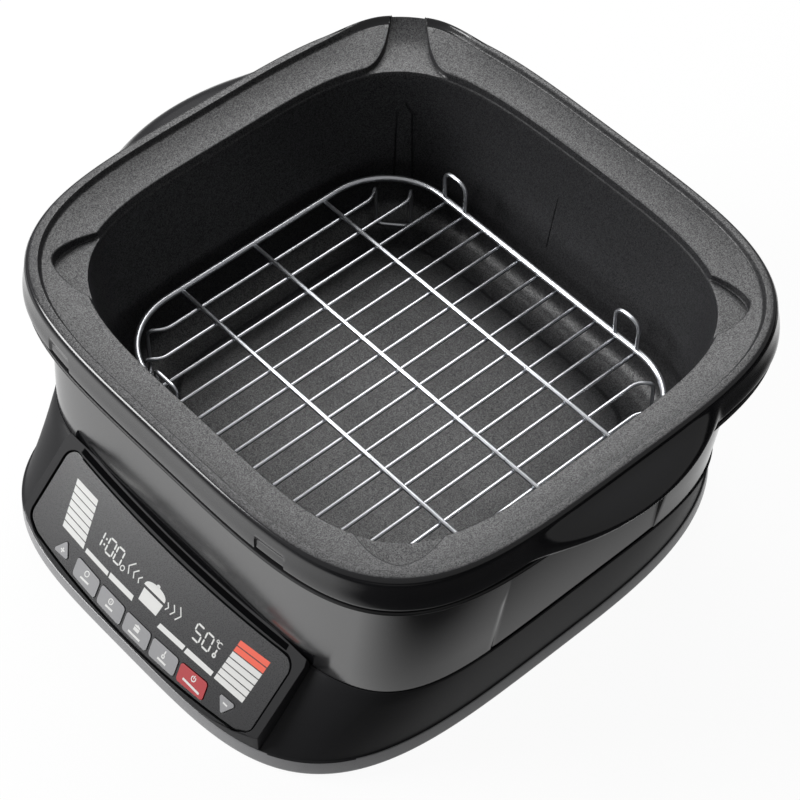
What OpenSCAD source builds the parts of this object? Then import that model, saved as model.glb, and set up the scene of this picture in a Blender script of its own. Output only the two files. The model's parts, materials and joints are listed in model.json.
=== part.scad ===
// Multicooker with a square cast pot, a wire rack and a sloped key console.
// Millimetres, Z up, the console faces -Y and the part stands on Z = 0.

/* [Pot] */
// Width of the pot over the raised rim
rim_w = 329; // [300:1:360]
// Depth of the pot over the raised rim, front to back
rim_d = 311; // [285:1:340]
// Squareness of the rim outline, where 2 is an ellipse
rim_n = 4; // [3:0.1:5]
// Squareness of the pot floor outline
floor_n = 5.5; // [4:0.1:7]
// Depth from the ledge inside the rim to the floor
pot_depth = 100; // [80:1:130]
// Wall thickness of the casting
pot_wall = 3.6; // [2.5:0.1:5]
// Floor thickness of the casting
pot_floor = 4; // [3:0.1:7]
// How far the inner wall leans in for each millimetre of depth
pot_draft = 0.2; // [0.12:0.01:0.24]
// Radius step between the wall and the floor
floor_round = 10; // [6:0.5:16]
// Height of the raised ring on the floor
floor_step = 1.6; // [0.5:0.1:3]

/* [Pot rim] */
// Distance from the rim outline to the inner edge of the ledge
ledge_w = 23; // [18:0.5:28]
// Height of the rim above the inner edge of the ledge
ridge_h = 8; // [5:0.5:12]
// Width of the raised rim
ridge_w = 8; // [5:0.5:11]
// Height of the small step inside the rim
ridge_step = 3.2; // [1:0.1:5]
// Depth of the outer skirt below the ledge
skirt_h = 20; // [14:0.5:26]
// How far the skirt flares out
skirt_flare = 2.5; // [0:0.1:5]
// Lift of the lower skirt edge along the front
skirt_lift = 5; // [0:0.5:8]
// Depth of the pockets in the rim corners
pocket_depth = 5; // [2:0.5:7]
// How far a pocket cuts back into the ledge
pocket_reach = 11; // [4:0.5:12]
// Half width of a pocket, as an angle at the pot centre
pocket_half = 8.8; // [5:0.1:9.8]
// Half width of the pouring gap, as an angle at the pot centre
spout_half = 4; // [3:0.1:6]
// How far the rim flares out at the pouring lip
spout_flare = 5; // [0:0.5:6]
// Height of the pouring lip above the ledge
lip_h = 4.6; // [2:0.1:6]
// How far the handle lobes stand out at the sides
lobe_out = 10.5; // [8:0.5:16]
// Length of a handle lobe, front to back
lobe_len = 112; // [80:1:140]

/* [Rack] */
// Half width of the rack ring
rack_x = 120.5; // [110:0.5:121]
// Half depth of the rack ring
rack_y = 103; // [98:0.5:108]
// Corner radius of the rack ring
rack_r = 42; // [38:0.5:48]
// Height of the rods above the pot floor
rack_h = 30; // [22:0.5:45]
// Ring wire diameter
ring_wire = 3.6; // [3:0.1:4.5]
// Support wire diameter
support_wire = 3; // [2.4:0.1:4]
// Rod diameter
rod_wire = 2.2; // [1.6:0.1:2.8]
// Distance between two rods
rod_pitch = 15; // [13:0.1:16]
// Number of straight rods
rod_count = 11; // [5:2:11]
// Distance between two support wires
support_pitch = 51; // [40:1:56]
// Height of the lifting loops above the ring
loop_h = 20; // [14:0.5:30]

/* [Base] */
// Width of the base
base_w = 300; // [290:1:330]
// Length of the base, console included
base_l = 350; // [342:1:370]
// Height of the base rim above the table
base_h = 53; // [51:0.5:56]
// Height of the upright band at the foot of the base
band_h = 13; // [9:0.5:16]
// Squareness of the front corners
front_n = 3.85; // [3.2:0.05:5]
// Squareness of the back corners
back_n = 3.1; // [2.8:0.05:4]
// Wall thickness of the base
base_wall = 3; // [2:0.1:4]
// Height of the rubber feet
foot_h = 2; // [1:0.5:6]
// Thickness of the bottom cover
cover_t = 3; // [2.5:0.1:5]

/* [Casing] */
// How far the casing stands back from the pot rim
case_in = 8.5; // [7:0.5:10]
// How much further it stands back behind
case_back = 5; // [2:0.5:7]
// Draw-in of the casing, top to bottom
casing_taper = 2; // [0.5:0.5:4]
// Draw-in of the casing at the sides, top to bottom
side_taper = 5; // [1:0.5:7]
// Draw-in of the casing at the back, top to bottom
back_taper = 11; // [4:0.5:12]
// Squareness of the casing outline in front
casing_n = 5.3; // [4.8:0.1:6]
// Squareness of the casing outline behind
casing_nk = 4.1; // [3.9:0.1:5]
// Casing wall thickness
casing_wall = 3; // [2:0.1:4]
// Depth of the grip recess in the casing sides
grip_in = 4; // [2:0.5:6]
// Height of the trim ring on the casing
trim_h = 6.5; // [5:0.5:9]

/* [Console] */
// Half width of the console
con_x = 98; // [94:0.5:104]
// Half width of the key panel
panel_x = 92; // [86:0.5:93]
// Panel thickness
panel_t = 2.4; // [1.6:0.1:3]
// How deep the panel lies in the console
panel_in = 1; // [0.4:0.1:2]
// Dark gap between the panel and the console
panel_gap = 0.9; // [0.3:0.1:1.2]
// Key width
key_w = 20; // [16:0.1:20.4]
// Key height
key_l = 9.6; // [8:0.1:11]
// Distance between two keys
key_pitch = 22; // [21.6:0.05:23]
// How far a key stands out of the panel
key_out = 0.6; // [0.3:0.1:1]
// Gap around a key
key_gap = 0.3; // [0.15:0.05:0.5]

/* [Heating] */
// Half width of the heating plate
plate_x = 100; // [80:1:106]
// Half depth of the heating plate
plate_y = 93; // [76:1:98]
// Thickness of the heating plate
plate_t = 10; // [8:0.5:14]
// Height of the plate above the table
plate_z = 34; // [33:0.5:35]
// Diameter of the tube heater
heater_d = 8; // [6:0.5:10]
// Radius of the tube heater loop
heater_r = 68; // [50:1:72]

/* [Hidden] */
$fn = 48;
// running and seating clearances
seat = 0.05;
fit = 0.3;
// pot centre behind the base centre, so that skirt and base end level at the back
pot_y = base_l / 2 - rim_d / 2 - skirt_flare;
pot_z = plate_z + plate_t + seat;
floor_z = pot_z + pot_floor;
ledge_z = floor_z + pot_depth;
rim_a = rim_w / 2;
rim_b = rim_d / 2;
corner = atan2(rim_d, rim_w);
trim_z = ledge_z - skirt_h - 1.3;
casing_top = trim_z - trim_h;
seat_z = base_h - 3;
deck_t = 3;
deck_z = seat_z - deck_t;
casing_a = rim_a - case_in;
casing_b = rim_b - case_in;
casing_k = casing_b - case_back;
foot_a = casing_a - side_taper;
foot_b = casing_b - casing_taper;
foot_k = casing_k - back_taper;
trim_a = rim_a - 2;
trim_b = rim_b - 2;
base_a = base_w / 2;
base_f = base_l / 2;
band_z = foot_h + band_h - 2;
// console slope, 45 degrees, starting at the top of the band
con_y = -base_f;
con_wall = 6;
con_back = pot_y - foot_b - 1.2;
con_top = con_back - 0.6 - con_y;
rods_z = floor_z + floor_step + rack_h;
key_n = 5;
key_v = 9.2;
// the slope's length, and the panel's top at its ends and in the middle
slope_l = con_top * sqrt(2);
panel_v = slope_l - 5.2;
panel_mid = panel_v - 5.2;

// smooth step from 0 to 1
function sm(x) = let (u = min(1, max(0, x))) u * u * (3 - 2 * u);
function mix(a, b, w) = a + (b - a) * w;
// angle between two directions, 0 to 180
function turn(a, b) = abs((((a - b) % 360) + 540) % 360 - 180);
// radius of a rounded square outline in direction t
function rad(a, b, n, t) = pow(pow(abs(cos(t)) / a, n) + pow(abs(sin(t)) / b, n), -1 / n);
function round_pt(a, b, n, t, z) = let (r = rad(a, b, n, t)) [r * cos(t), r * sin(t), z];
// base outline: own length and squareness in front and behind
function base_pt(a, f, k, t, z) = round_pt(a, sin(t) < 0 ? f : k, sin(t) < 0 ? front_n : back_n, t, z);
// casing outline: a to the sides, f in front and k behind the pot centre
function case_pt(a, f, k, t, z) = round_pt(a, sin(t) < 0 ? f : k, sin(t) < 0 ? casing_n : casing_nk, t, z);
function spread(a, b, n) = [for (i = [0 : n - 1]) a + (b - a) * i / n];
function shift(p, y) = [for (q = p) [q[0], q[1] + y, q[2]]];
function flat(p) = [for (q = p) [q[0], q[1]]];

// closed solid through rings of points: capped at both ends, or joined end to start
module loft(rings, joined = false) {
  n = len(rings);
  m = len(rings[0]);
  last = joined ? n - 1 : n - 2;
  sides = [for (i = [0 : last], j = [0 : m - 1], h = [0, 1])
    let (a = i * m, b = ((i + 1) % n) * m, k = (j + 1) % m)
    h == 0 ? [a + j, b + j, b + k] : [a + j, b + k, a + k]];
  caps = joined ? [] : [[for (j = [0 : m - 1]) j], [for (j = [0 : m - 1]) n * m - 1 - j]];
  polyhedron(points = [for (r = rings, p = r) p], faces = concat(sides, caps), convexity = 8);
}

// flat plate with a rounded square outline
module round_plate(a, b, n, h) {
  linear_extrude(h)
    polygon([for (t = spread(0, 360, 96)) let (r = rad(a, b, n, t)) [r * cos(t), r * sin(t)]]);
}

// wire of diameter d from p to q
module wire(p, q, d) {
  v = q - p;
  l = norm(v);
  translate(p)
    rotate([0, acos(v[2] / l), atan2(v[1], v[0])])
      cylinder(d = d, h = l, $fn = 24);
}

// bent wire through points, with slightly fuller bends
bead = 1.05;
module bent_wire(p, d) {
  for (i = [0 : len(p) - 2])
    wire(p[i], p[i + 1], d);
  if (len(p) > 2)
    for (i = [1 : len(p) - 2])
      translate(p[i])
        sphere(d = d * bead, $fn = 24);
}

// pot casting
pot_corners = [corner, 180 - corner, 180 + corner, 360 - corner];
pot_turns = [for (k = [0 : 3])
  let (c = pot_corners[k], e = k < 3 ? pot_corners[k + 1] : 360 + pot_corners[0])
  each concat(spread(c - 9.9, c + 9.9, 18), spread(c + 9.9, e - 9.9, 18))];
spout_turn = 180 - corner;
function near_corner(t) = min([for (c = pot_corners) turn(t, c)]);
function pocket(t) = sm((pocket_half - near_corner(t)) / 5);
function under_pocket(t) = sm((pocket_half + 3 - near_corner(t)) / 6);
function spout(t) = sm((spout_half - turn(t, spout_turn)) / 1.4);
function flare(t, o) = spout_flare * sm((15 - turn(t, spout_turn)) / 11) * (1 - o / 11);
function under_spout(t) = sm((spout_half + 3 - turn(t, spout_turn)) / 3);
function lobe(t) = let (y = rad(rim_a, rim_b, rim_n, t) * sin(t))
  abs(cos(t)) < 0.5 ? 0 : lobe_out * max(0, 1 - pow(2 * y / lobe_len, 2));
function front_lift(t) = skirt_lift * sm((31 - turn(t, 270)) / 3);
// height of the sloped ledge, o from the rim outline
function ledge_at(o) = mix(ridge_h - ridge_step, 0.3, (o - ridge_w - 0.8) / (ledge_w - ridge_w - 1.4));
// one ring of the pot: offset from the rim outline and height above the ledge
function pot_ring(o, z, n = rim_n) = [for (t = pot_turns) round_pt(rim_a - o, rim_b - o, n, t, ledge_z + z)];
// ring of the ridge: height z, or low in the pouring lip
function rim_ring(o, z, low) = [for (t = pot_turns) let (e = flare(t, o) - o)
  round_pt(rim_a + e, rim_b + e, rim_n, t, ledge_z + mix(z, low, spout(t)))];
// ring outside below the ridge: e out of the outline, k of the lobe; lower under the pouring lip
function lobe_ring(e, k, z) = [for (t = pot_turns) let (g = e + k * lobe(t))
  round_pt(rim_a + g, rim_b + g, rim_n, t,
    ledge_z + mix(z, 0.4 * z - 1.2, sm((15 - turn(t, spout_turn)) / 11)))];
function wall_at(d) = ledge_w + d * pot_draft;
function pot_rings() = let (
    deep = pot_depth - floor_round,
    fo = wall_at(deep) + 0.55 * floor_round,
    n1 = (rim_n + floor_n) / 2,
    n2 = floor_n)
  [
    pot_ring(fo + 4, -pot_depth - pot_floor, n2),
    pot_ring(fo - 2, -pot_depth - pot_floor, n2),
    pot_ring(wall_at(deep) - 1, -pot_depth + 0.5, n2),
    pot_ring(wall_at(deep) - pot_wall, -deep, n2),
    [for (t = pot_turns)
      round_pt(rim_a - wall_at(6) + pot_wall, rim_b - wall_at(6) + pot_wall, rim_n, t,
        ledge_z - 8 - (pocket_depth + 0.5) * under_pocket(t))],
    [for (t = pot_turns)
      round_pt(rim_a - ledge_w + 6, rim_b - ledge_w + 6, rim_n, t,
        ledge_z - 4.5 - (pocket_depth + 0.5) * under_pocket(t))],
    [for (t = pot_turns) let (e = flare(t, 4.2) - 4.2)
      round_pt(rim_a + e, rim_b + e, rim_n, t,
        ledge_z + mix(2 - (pocket_depth + 0.5) * under_pocket(t), -4, under_spout(t)))],
    [for (t = pot_turns) round_pt(rim_a - 1.2, rim_b - 1.2, rim_n, t, ledge_z - skirt_h + front_lift(t))],
    [for (t = pot_turns) let (e = skirt_flare - 0.3)
      round_pt(rim_a + e, rim_b + e, rim_n, t, ledge_z - skirt_h + front_lift(t))],
    [for (t = pot_turns)
      round_pt(rim_a + skirt_flare, rim_b + skirt_flare, rim_n, t, ledge_z - skirt_h + 1.2 + front_lift(t))],
    lobe_ring(1.3, 0.1, 0),
    lobe_ring(1.1, 0.85, 1.3),
    lobe_ring(1, 1, 2.4),
    lobe_ring(0.8, 1, 4),
    lobe_ring(0.6, 0.85, 4.9),
    lobe_ring(0.3, 0, 5.4),
    rim_ring(0, ridge_h - 1.8, lip_h - 1.4),
    rim_ring(1.3, ridge_h - 0.4, lip_h - 0.2),
    rim_ring(ridge_w - 1.5, ridge_h, 0.25 * lip_h - 0.5 * pocket_depth),
    rim_ring(ridge_w, ridge_h - 0.8, 0.1 * lip_h - 0.7 * pocket_depth),
    rim_ring(ridge_w + 0.8, ridge_h - ridge_step, -0.75 * pocket_depth),
    [for (t = pot_turns)
      let (o = mix(ledge_w - 1.2, max(ridge_w + 2, ledge_w - 1.2 - pocket_reach), pocket(t)))
      round_pt(rim_a - o, rim_b - o, rim_n, t, ledge_z + mix(ledge_at(o), -4.8, spout(t)))],
    [for (t = pot_turns)
      let (o = mix(ledge_w - 0.6, max(ridge_w + 3, ledge_w - 0.6 - pocket_reach), pocket(t)))
      round_pt(rim_a - o, rim_b - o, rim_n, t, ledge_z + mix(0.1, 0.2 - pocket_depth, pocket(t)))],
    [for (t = pot_turns)
      round_pt(rim_a - ledge_w - 0.2, rim_b - ledge_w - 0.2, rim_n, t,
        ledge_z + mix(-0.8, -0.5 - pocket_depth, pocket(t)))],
    pot_ring(wall_at(deep / 2), -deep / 2, n1),
    pot_ring(wall_at(deep), -deep, n2),
    pot_ring(wall_at(deep) + 0.16 * floor_round, -pot_depth + 0.3 * floor_round, n2),
    pot_ring(fo, -pot_depth, n2),
    pot_ring(fo + 10, -pot_depth, n2),
    pot_ring(fo + 13, -pot_depth + floor_step, n2)
  ];
module pot() {
  color("#3a3a3c")
    translate([0, pot_y, 0])
      loft(pot_rings());
}

// casing shell with a grip recess in each side
grip_front = 23.5;
grip_back = 18.5;
casing_turns = concat(
  spread(grip_back + 0.7, 180 - grip_back - 0.7, 36), [180 - grip_back - 0.7],
  spread(180 - grip_back + 0.7, 180 + grip_front - 0.7, 8), [180 + grip_front - 0.7],
  spread(180 + grip_front + 0.7, 360 - grip_front - 0.7, 34), [360 - grip_front - 0.7],
  spread(360 - grip_front + 0.7, 360 + grip_back - 0.7, 8), [360 + grip_back - 0.7]);
function in_grip(t) = let (d = ((t + 90) % 180) - 90, m = cos(t) > 0 ? d : -d)
  m > -grip_front && m < grip_back ? 1 : 0;
// one ring of the casing: w from foot 0 to top 1, e in from the outline
function casing_ring(w, e, z) = [for (t = casing_turns)
  let (g = e + mix(0.2, 1, w) * grip_in * in_grip(t))
  case_pt(mix(foot_a, casing_a, w) - g, mix(foot_b, casing_b, w) - g, mix(foot_k, casing_k, w) - g, t, z)];
module outer_casing() {
  w = casing_wall;
  color("#1a1a1c")
    translate([0, pot_y, 0])
      loft([
        casing_ring(0, 2.5, seat_z + seat),
        casing_ring(0, 1, seat_z + 0.7),
        casing_ring(0, 0.2, seat_z + 2.4),
        casing_ring(0.05, 0, seat_z + 5),
        casing_ring(1, 0, casing_top),
        casing_ring(1, w, casing_top),
        casing_ring(0.05, w, seat_z + 5),
        casing_ring(0, 2.5 + w, seat_z + seat)
      ], true);
}

// matte ring on the casing, with an inner flange over the heat shield
function plain_ring(a, b, n, z, m = 90) = [for (t = spread(0, 360, m)) round_pt(a, b, n, t, z)];
flange_z = casing_top + 2;
module trim_ring() {
  n = rim_n + 0.1;
  fa = trim_a - 20;
  fb = trim_b - 20;
  color("#141416")
    translate([0, pot_y, 0])
      loft([
        plain_ring(fa + 5, fb + 4, 4.4, casing_top + seat),
        plain_ring(trim_a - 0.6, trim_b - 0.6, n, casing_top + seat),
        plain_ring(trim_a, trim_b, n, casing_top + 0.8),
        plain_ring(trim_a, trim_b, n, trim_z - 1),
        plain_ring(trim_a - 0.8, trim_b - 0.8, n, trim_z),
        plain_ring(trim_a - 3, trim_b - 3, n, trim_z),
        plain_ring(trim_a - 5, trim_b - 5, n, flange_z + 1.6),
        plain_ring(fa, fb, 4.3, flange_z + 1.6),
        plain_ring(fa, fb, 4.3, flange_z),
        plain_ring(fa + 5, fb + 4, 4.4, flange_z)
      ], true);
}

// sheet metal wall between the pot and the casing
pot_a = rim_a - wall_at(pot_depth - floor_round) + pot_wall;
pot_b = rim_b - wall_at(pot_depth - floor_round) + pot_wall;
module heat_shield() {
  ta = trim_a - 17;
  tb = trim_b - 17.5;
  ba = pot_a + 4;
  bb = pot_b + 4;
  color("#b9bcc0")
    translate([0, pot_y, 0])
      loft([
        plain_ring(ba, bb, 5, seat_z + seat, 72),
        plain_ring(ta, tb, 4.3, flange_z - seat, 72),
        plain_ring(ta - 1, tb - 1, 4.3, flange_z - seat, 72),
        plain_ring(ba - 1, bb - 1, 5, seat_z + seat, 72)
      ], true);
}

// base moulding: band, flared skirt, seat for the casing, open deck
well_a = pot_a + 1.5;
well_b = pot_b + 1.5;
well_n = floor_n;
// pan under the deck
pan_z = 18;
pan_a = well_a + 1;
pan_b = well_b + 1;
bosses = [[118, -113], [-118, -113], [base_a - 11, -20], [11 - base_a, -20], [60, base_f - 29],
  [-60, base_f - 29]];
boss_d = 8;
screw_d = 2.9;
// skirt between the band, w = 0, and the lip round the casing, w = 1; e in from the outside
lip = 1.5;
function skirt_pt(t, w, e, z) = let (
    p = base_pt(base_a - 1.5 - e, base_f - 1.5 - e, base_f - 1.5 - e, t, z),
    q = case_pt(foot_a + lip - e, foot_b + lip - e, foot_k + lip - e, t, z))
  [mix(p[0], q[0], w), mix(p[1], q[1] + pot_y, w), z];
function skirt_w(z) = (z - band_z) / (base_h - band_z);
function slope_k(z) = mix(base_f - 1.5, foot_k + lip + pot_y, skirt_w(z));
module base_shell() {
  m = 96;
  T = spread(0, 360, m);
  w = base_wall;
  top = base_h;
  loft([
    [for (t = T) base_pt(base_a - 2, base_f - 2, base_f - 2, t, foot_h)],
    [for (t = T) base_pt(base_a, base_f, base_f, t, foot_h + 2.5)],
    [for (t = T) base_pt(base_a - 0.6, base_f - 0.6, base_f - 0.6, t, band_z)],
    for (z = [band_z + 0.8, mix(band_z, top, 0.33), mix(band_z, top, 0.67), top - 0.6])
      [for (t = T) skirt_pt(t, skirt_w(z), 0, z)],
    [for (t = T) skirt_pt(t, 1, 0.5, top)],
    shift([for (t = T) case_pt(foot_a + fit, foot_b + fit, foot_k + fit, t, top)], pot_y),
    shift([for (t = T) case_pt(foot_a + fit, foot_b + fit, foot_k + fit, t, seat_z)], pot_y),
    shift([for (t = T) round_pt(well_a, well_b, well_n, t, seat_z)], pot_y),
    shift([for (t = T) round_pt(well_a, well_b, well_n, t, deck_z)], pot_y),
    [for (t = T) skirt_pt(t, skirt_w(deck_z), 1.4 * w, deck_z)],
    [for (t = T) skirt_pt(t, 0, 1.4 * w, band_z + 1)],
    [for (t = T) base_pt(base_a - 2 - w, base_f - 2 - w, base_f - 2 - w, t, foot_h)]
  ], true);
}
module base_housing() {
  color("#1e1e20")
    difference() {
      union() {
        base_shell();
        for (p = bosses)
          translate([p[0], p[1], foot_h + cover_t + seat])
            cylinder(d = boss_d, h = deck_z - foot_h - cover_t + 0.5);
      }
      translate([-con_x - fit / 2, con_y - 10, band_z + 0.5])
        cube([2 * con_x + fit, con_back - con_y + 11, 80]);
      // room behind the band for the lower edge of the panel and its board
      intersection() {
        translate([-win_x - 6, con_y, band_z - 4])
          cube([2 * win_x + 12, 40, 80]);
        linear_extrude(120)
          cover_shape(-1.6);
      }
      translate([-inlet_w / 2 - fit / 2, inlet_y + 4, inlet_z - fit / 2])
        cube([inlet_w + fit, 40, inlet_h + fit]);
      for (p = bosses)
        translate([p[0], p[1], 0])
          cylinder(d = screw_d + 0.1, h = 22);
    }
}

// bottom cover with screw holes and two rows of vents
module cover_shape(e) {
  w = base_wall + 2 + e;
  polygon(flat([for (t = spread(0, 360, 96)) base_pt(base_a - w, base_f - w, base_f - w, t, 0)]));
}
feet = [[105, -125], [-105, -125], [92, 112], [-92, 112]];
foot_d = 18;
module bottom_cover() {
  color("#19191b")
    difference() {
      translate([0, 0, foot_h])
        linear_extrude(cover_t)
          cover_shape(fit + 0.7);
      for (p = bosses)
        translate([p[0], p[1], foot_h - 1]) {
          cylinder(d = screw_d + 0.4, h = cover_t + 2);
          cylinder(d = 6.6, h = 1 + cover_t / 2);
        }
      for (x = [-60 : 12 : 60], y = [-40, 40])
        translate([x - 2, pot_y + y - 16, foot_h - 1])
          cube([4, 32, cover_t + 2]);
      for (p = feet)
        translate([p[0], p[1], foot_h - 1])
          cylinder(d = 6, h = cover_t + 2);
    }
}
module rubber_feet() {
  color("#2a2a2a")
    for (p = feet)
      translate([p[0], p[1], 0]) {
        cylinder(d1 = foot_d - 1.5, d2 = foot_d, h = foot_h - seat);
        cylinder(d = 5.9, h = foot_h + cover_t);
      }
}
module cover_screws() {
  color("#9a9da1")
    for (p = bosses)
      translate([p[0], p[1], foot_h]) {
        difference() {
          cylinder(d = 6, h = cover_t / 2 - seat);
          translate([-0.5, -2, -0.1])
            cube([1, 4, 0.8]);
          translate([-2, -0.5, -0.1])
            cube([4, 1, 0.8]);
        }
        cylinder(d = screw_d, h = 18);
      }
}

// console: local axes with x across, y up the slope and z out of the panel
module on_panel() {
  translate([0, con_y, band_z + 0.5])
    rotate([45, 0, 0])
      children();
}
// panel outline: both long edges bowed, rounded corners; e grows it
bow = 8.5;
bow_r = (panel_x * panel_x + bow * bow) / (2 * bow);
function bow_v(x) = bow_r - sqrt(bow_r * bow_r - x * x);
function top_v(x) = mix(panel_mid, panel_v, pow(x / panel_x, 2));
function arc(c, r, a, b, n) = [for (i = [0 : n]) let (t = a + (b - a) * i / n)
  [c[0] + r * cos(t), c[1] + r * sin(t)]];
module panel_shape(e) {
  r = 7 + e;
  x = panel_x + e;
  b = 2.4 - e;
  q = bow_v(panel_x - 9) + b;
  polygon(concat(
    [for (i = [-8 : 8]) let (u = i / 8 * (panel_x - 9)) [u, b + bow_v(u)]],
    arc([x - r, q + r + 2], r, -50, 0, 5),
    arc([x - r, top_v(x - r) + e - r + 0.3], r, 0, 84, 6),
    [for (i = [7 : -1 : -7]) let (u = i / 8 * (x - r)) [u, top_v(u) + e]],
    arc([r - x, top_v(x - r) + e - r + 0.3], r, 96, 180, 6),
    arc([r - x, q + r + 2], r, 180, 230, 5)));
}
win_x = 78;
module console_housing() {
  s = con_top;
  z0 = band_z + 0.5;
  front = [[con_y, z0], [con_y + s, z0 + s], [con_back, z0 + s - 0.6], [con_back, z0]];
  w = con_wall * sqrt(2);
  color("#1e1e20")
    difference() {
      intersection() {
        translate([-con_x, 0, 0])
          rotate([90, 0, 90])
            linear_extrude(2 * con_x)
              polygon(front);
        linear_extrude(120)
          cover_shape(-base_wall - 1.4);
      }
      // hollow behind the slope
      translate([3 - con_x, 0, 0])
        rotate([90, 0, 90])
          linear_extrude(2 * con_x - 6)
            polygon([[con_y + w - 1, z0 - 1], [con_back - 3, z0 + con_back - 3 - con_y - w],
              [con_back - 3, deck_z - 2], [con_back + 1, deck_z - 2], [con_back + 1, z0 - 1]]);
      // side edges fall away to the skirt
      for (m = [0, 1])
        mirror([m, 0, 0])
          translate([con_x - 1.5, 0, z0 + s])
            rotate([0, 62, 0])
              translate([-60, -260, 0])
                cube([120, 250, 40]);
      // top edge, lower in the middle
      on_panel()
        translate([0, 0, -12])
          linear_extrude(30)
            polygon(concat([[con_x + 9, slope_l + 30]], [[-con_x - 9, slope_l + 30]],
              [for (i = [-10 : 10]) let (u = i / 10 * (con_x + 9)) [u, top_v(u) + 7.2]]));
      on_panel()
        translate([0, 0, -panel_in - panel_t])
          linear_extrude(20)
            panel_shape(panel_gap);
      on_panel()
        translate([-win_x, 2.6, -20])
          cube([2 * win_x, panel_mid - 5.1, 20 - panel_in - panel_t]);
    }
}
// key places on the panel, along the bowed row
function key_x(i) = (i - (key_n - 1) / 2) * key_pitch + 4;
function key_y(x) = key_v + 0.0009 * x * x;
// middles of the two end keys
end_at = [[key_x(0) - 21.8, key_v + 3.2], [key_x(key_n - 1) + 23.6, key_v + 6.2]];
// keys lean over to the left, less so on the right
function lean(x) = 0.0014 * x - 0.24;
module key_hole(i, e) {
  x = key_x(i);
  translate([x, key_y(x), 0])
    rotate([0, 0, 0.1 * x])
      multmatrix([[1, lean(x), 0, 0], [0, 1, 0, 0], [0, 0, 1, 0], [0, 0, 0, 1]])
        round_rect(key_w + 2 * e, key_l + 2 * e, 1.8 + e);
}
module round_rect(w, h, r) {
  translate([-w / 2 + r, -h / 2])
    square([w - 2 * r, h]);
  translate([-w / 2, -h / 2 + r])
    square([w, h - 2 * r]);
  for (x = [-1, 1], y = [-1, 1])
    translate([x * (w / 2 - r), y * (h / 2 - r)])
      circle(r = r);
}
// rounded triangle, point up
tri_r = 4.6;
module round_tri(e) {
  polygon([for (a = [90, 210, 330]) each
    arc([tri_r * cos(a), 0.8 * tri_r * sin(a)], 1.2 + e, a - 60, a + 60, 8)]);
}
module end_hole(side, e) {
  translate(side > 0 ? end_at[1] : end_at[0])
    rotate([0, 0, side > 0 ? 180 + 4 : 2])
      round_tri(e);
}
module panel_plate() {
  color("#2c2c2e")
    on_panel()
      translate([0, 0, -panel_in - panel_t])
        difference() {
          linear_extrude(panel_t)
            panel_shape(0);
          for (i = [0 : key_n - 1])
            translate([0, 0, -1])
              linear_extrude(panel_t + 2)
                key_hole(i, key_gap);
          for (s = [-1, 1])
            translate([0, 0, -1])
              linear_extrude(panel_t + 2)
                end_hole(s, key_gap);
        }
}
key_top = key_out - panel_in;
flange_top = -panel_in - panel_t - 0.1;
flange_low = flange_top - 0.8;
board_top = -con_wall - 0.02;
module key(i) {
  on_panel() {
    translate([0, 0, flange_low + 0.4])
      linear_extrude(key_top - flange_low - 0.4)
        key_hole(i, 0);
    translate([0, 0, flange_low])
      linear_extrude(flange_top - flange_low)
        key_hole(i, key_gap + 0.3);
  }
}
module end_key(s) {
  on_panel() {
    translate([0, 0, flange_low + 0.4])
      linear_extrude(key_top - flange_low - 0.4)
        end_hole(s, 0);
    translate([0, 0, flange_low])
      linear_extrude(flange_top - flange_low)
        end_hole(s, key_gap + 0.8);
  }
}
module key_plus() { color("#8a8a8c") end_key(-1); }
module key_minus() { color("#8a8a8c") end_key(1); }
module key_1() { color("#8a8a8c") key(0); }
module key_2() { color("#8a8a8c") key(1); }
module key_3() { color("#8a8a8c") key(2); }
module key_4() { color("#8a8a8c") key(3); }
module key_power() { color("#a8262c") key(4); }
// key board behind the panel, with a switch under each key
module control_board() {
  color("#1f5a34")
    on_panel()
      translate([-win_x - 4, 6.5, board_top - 1.6])
        cube([2 * win_x + 8, panel_mid - 10.5, 1.6]);
}
module key_switches() {
  h = flange_low - board_top - 0.95;
  color("#222222")
    on_panel() {
      for (i = [0 : key_n - 1])
        translate([key_x(i) - 3, key_y(key_x(i)) - 2.4, board_top])
          cube([6, 6, h]);
      for (p = end_at)
        translate([p[0] - 2.5, p[1] - 2.5, board_top])
          cube([5, 5, h]);
    }
}
module display_block() {
  color("#0c0c0d")
    on_panel()
      translate([-50, 0.45 * panel_v, board_top])
        cube([100, 0.28 * panel_v, -board_top - panel_in - panel_t - 0.2]);
}
// power board on the bottom cover, below the console
module power_board() {
  z = foot_h + cover_t;
  y = con_y + 16;
  // as deep as the room in front of the pan allows
  l = pot_y - pan_b - 11.4 - y;
  color("#2b6b3d") {
    translate([-70, y, z + 4])
      cube([140, l, 1.6]);
    for (a = [-64, 64], b = [0.12, 0.88])
      translate([a, y + b * l, z + seat])
        cylinder(d = 0.13 * l, h = 4);
  }
  color("#26282c") {
    translate([-52, y + 0.5 * l, z + 5.5])
      cube([28, 0.3 * l, 15]);
    translate([0, y + 0.32 * l, z + 5.5])
      cube([32, 0.58 * l, 17]);
    translate([52, y + 0.64 * l, z + 5.5])
      cylinder(d = 0.27 * l, h = 18);
  }
}
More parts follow.
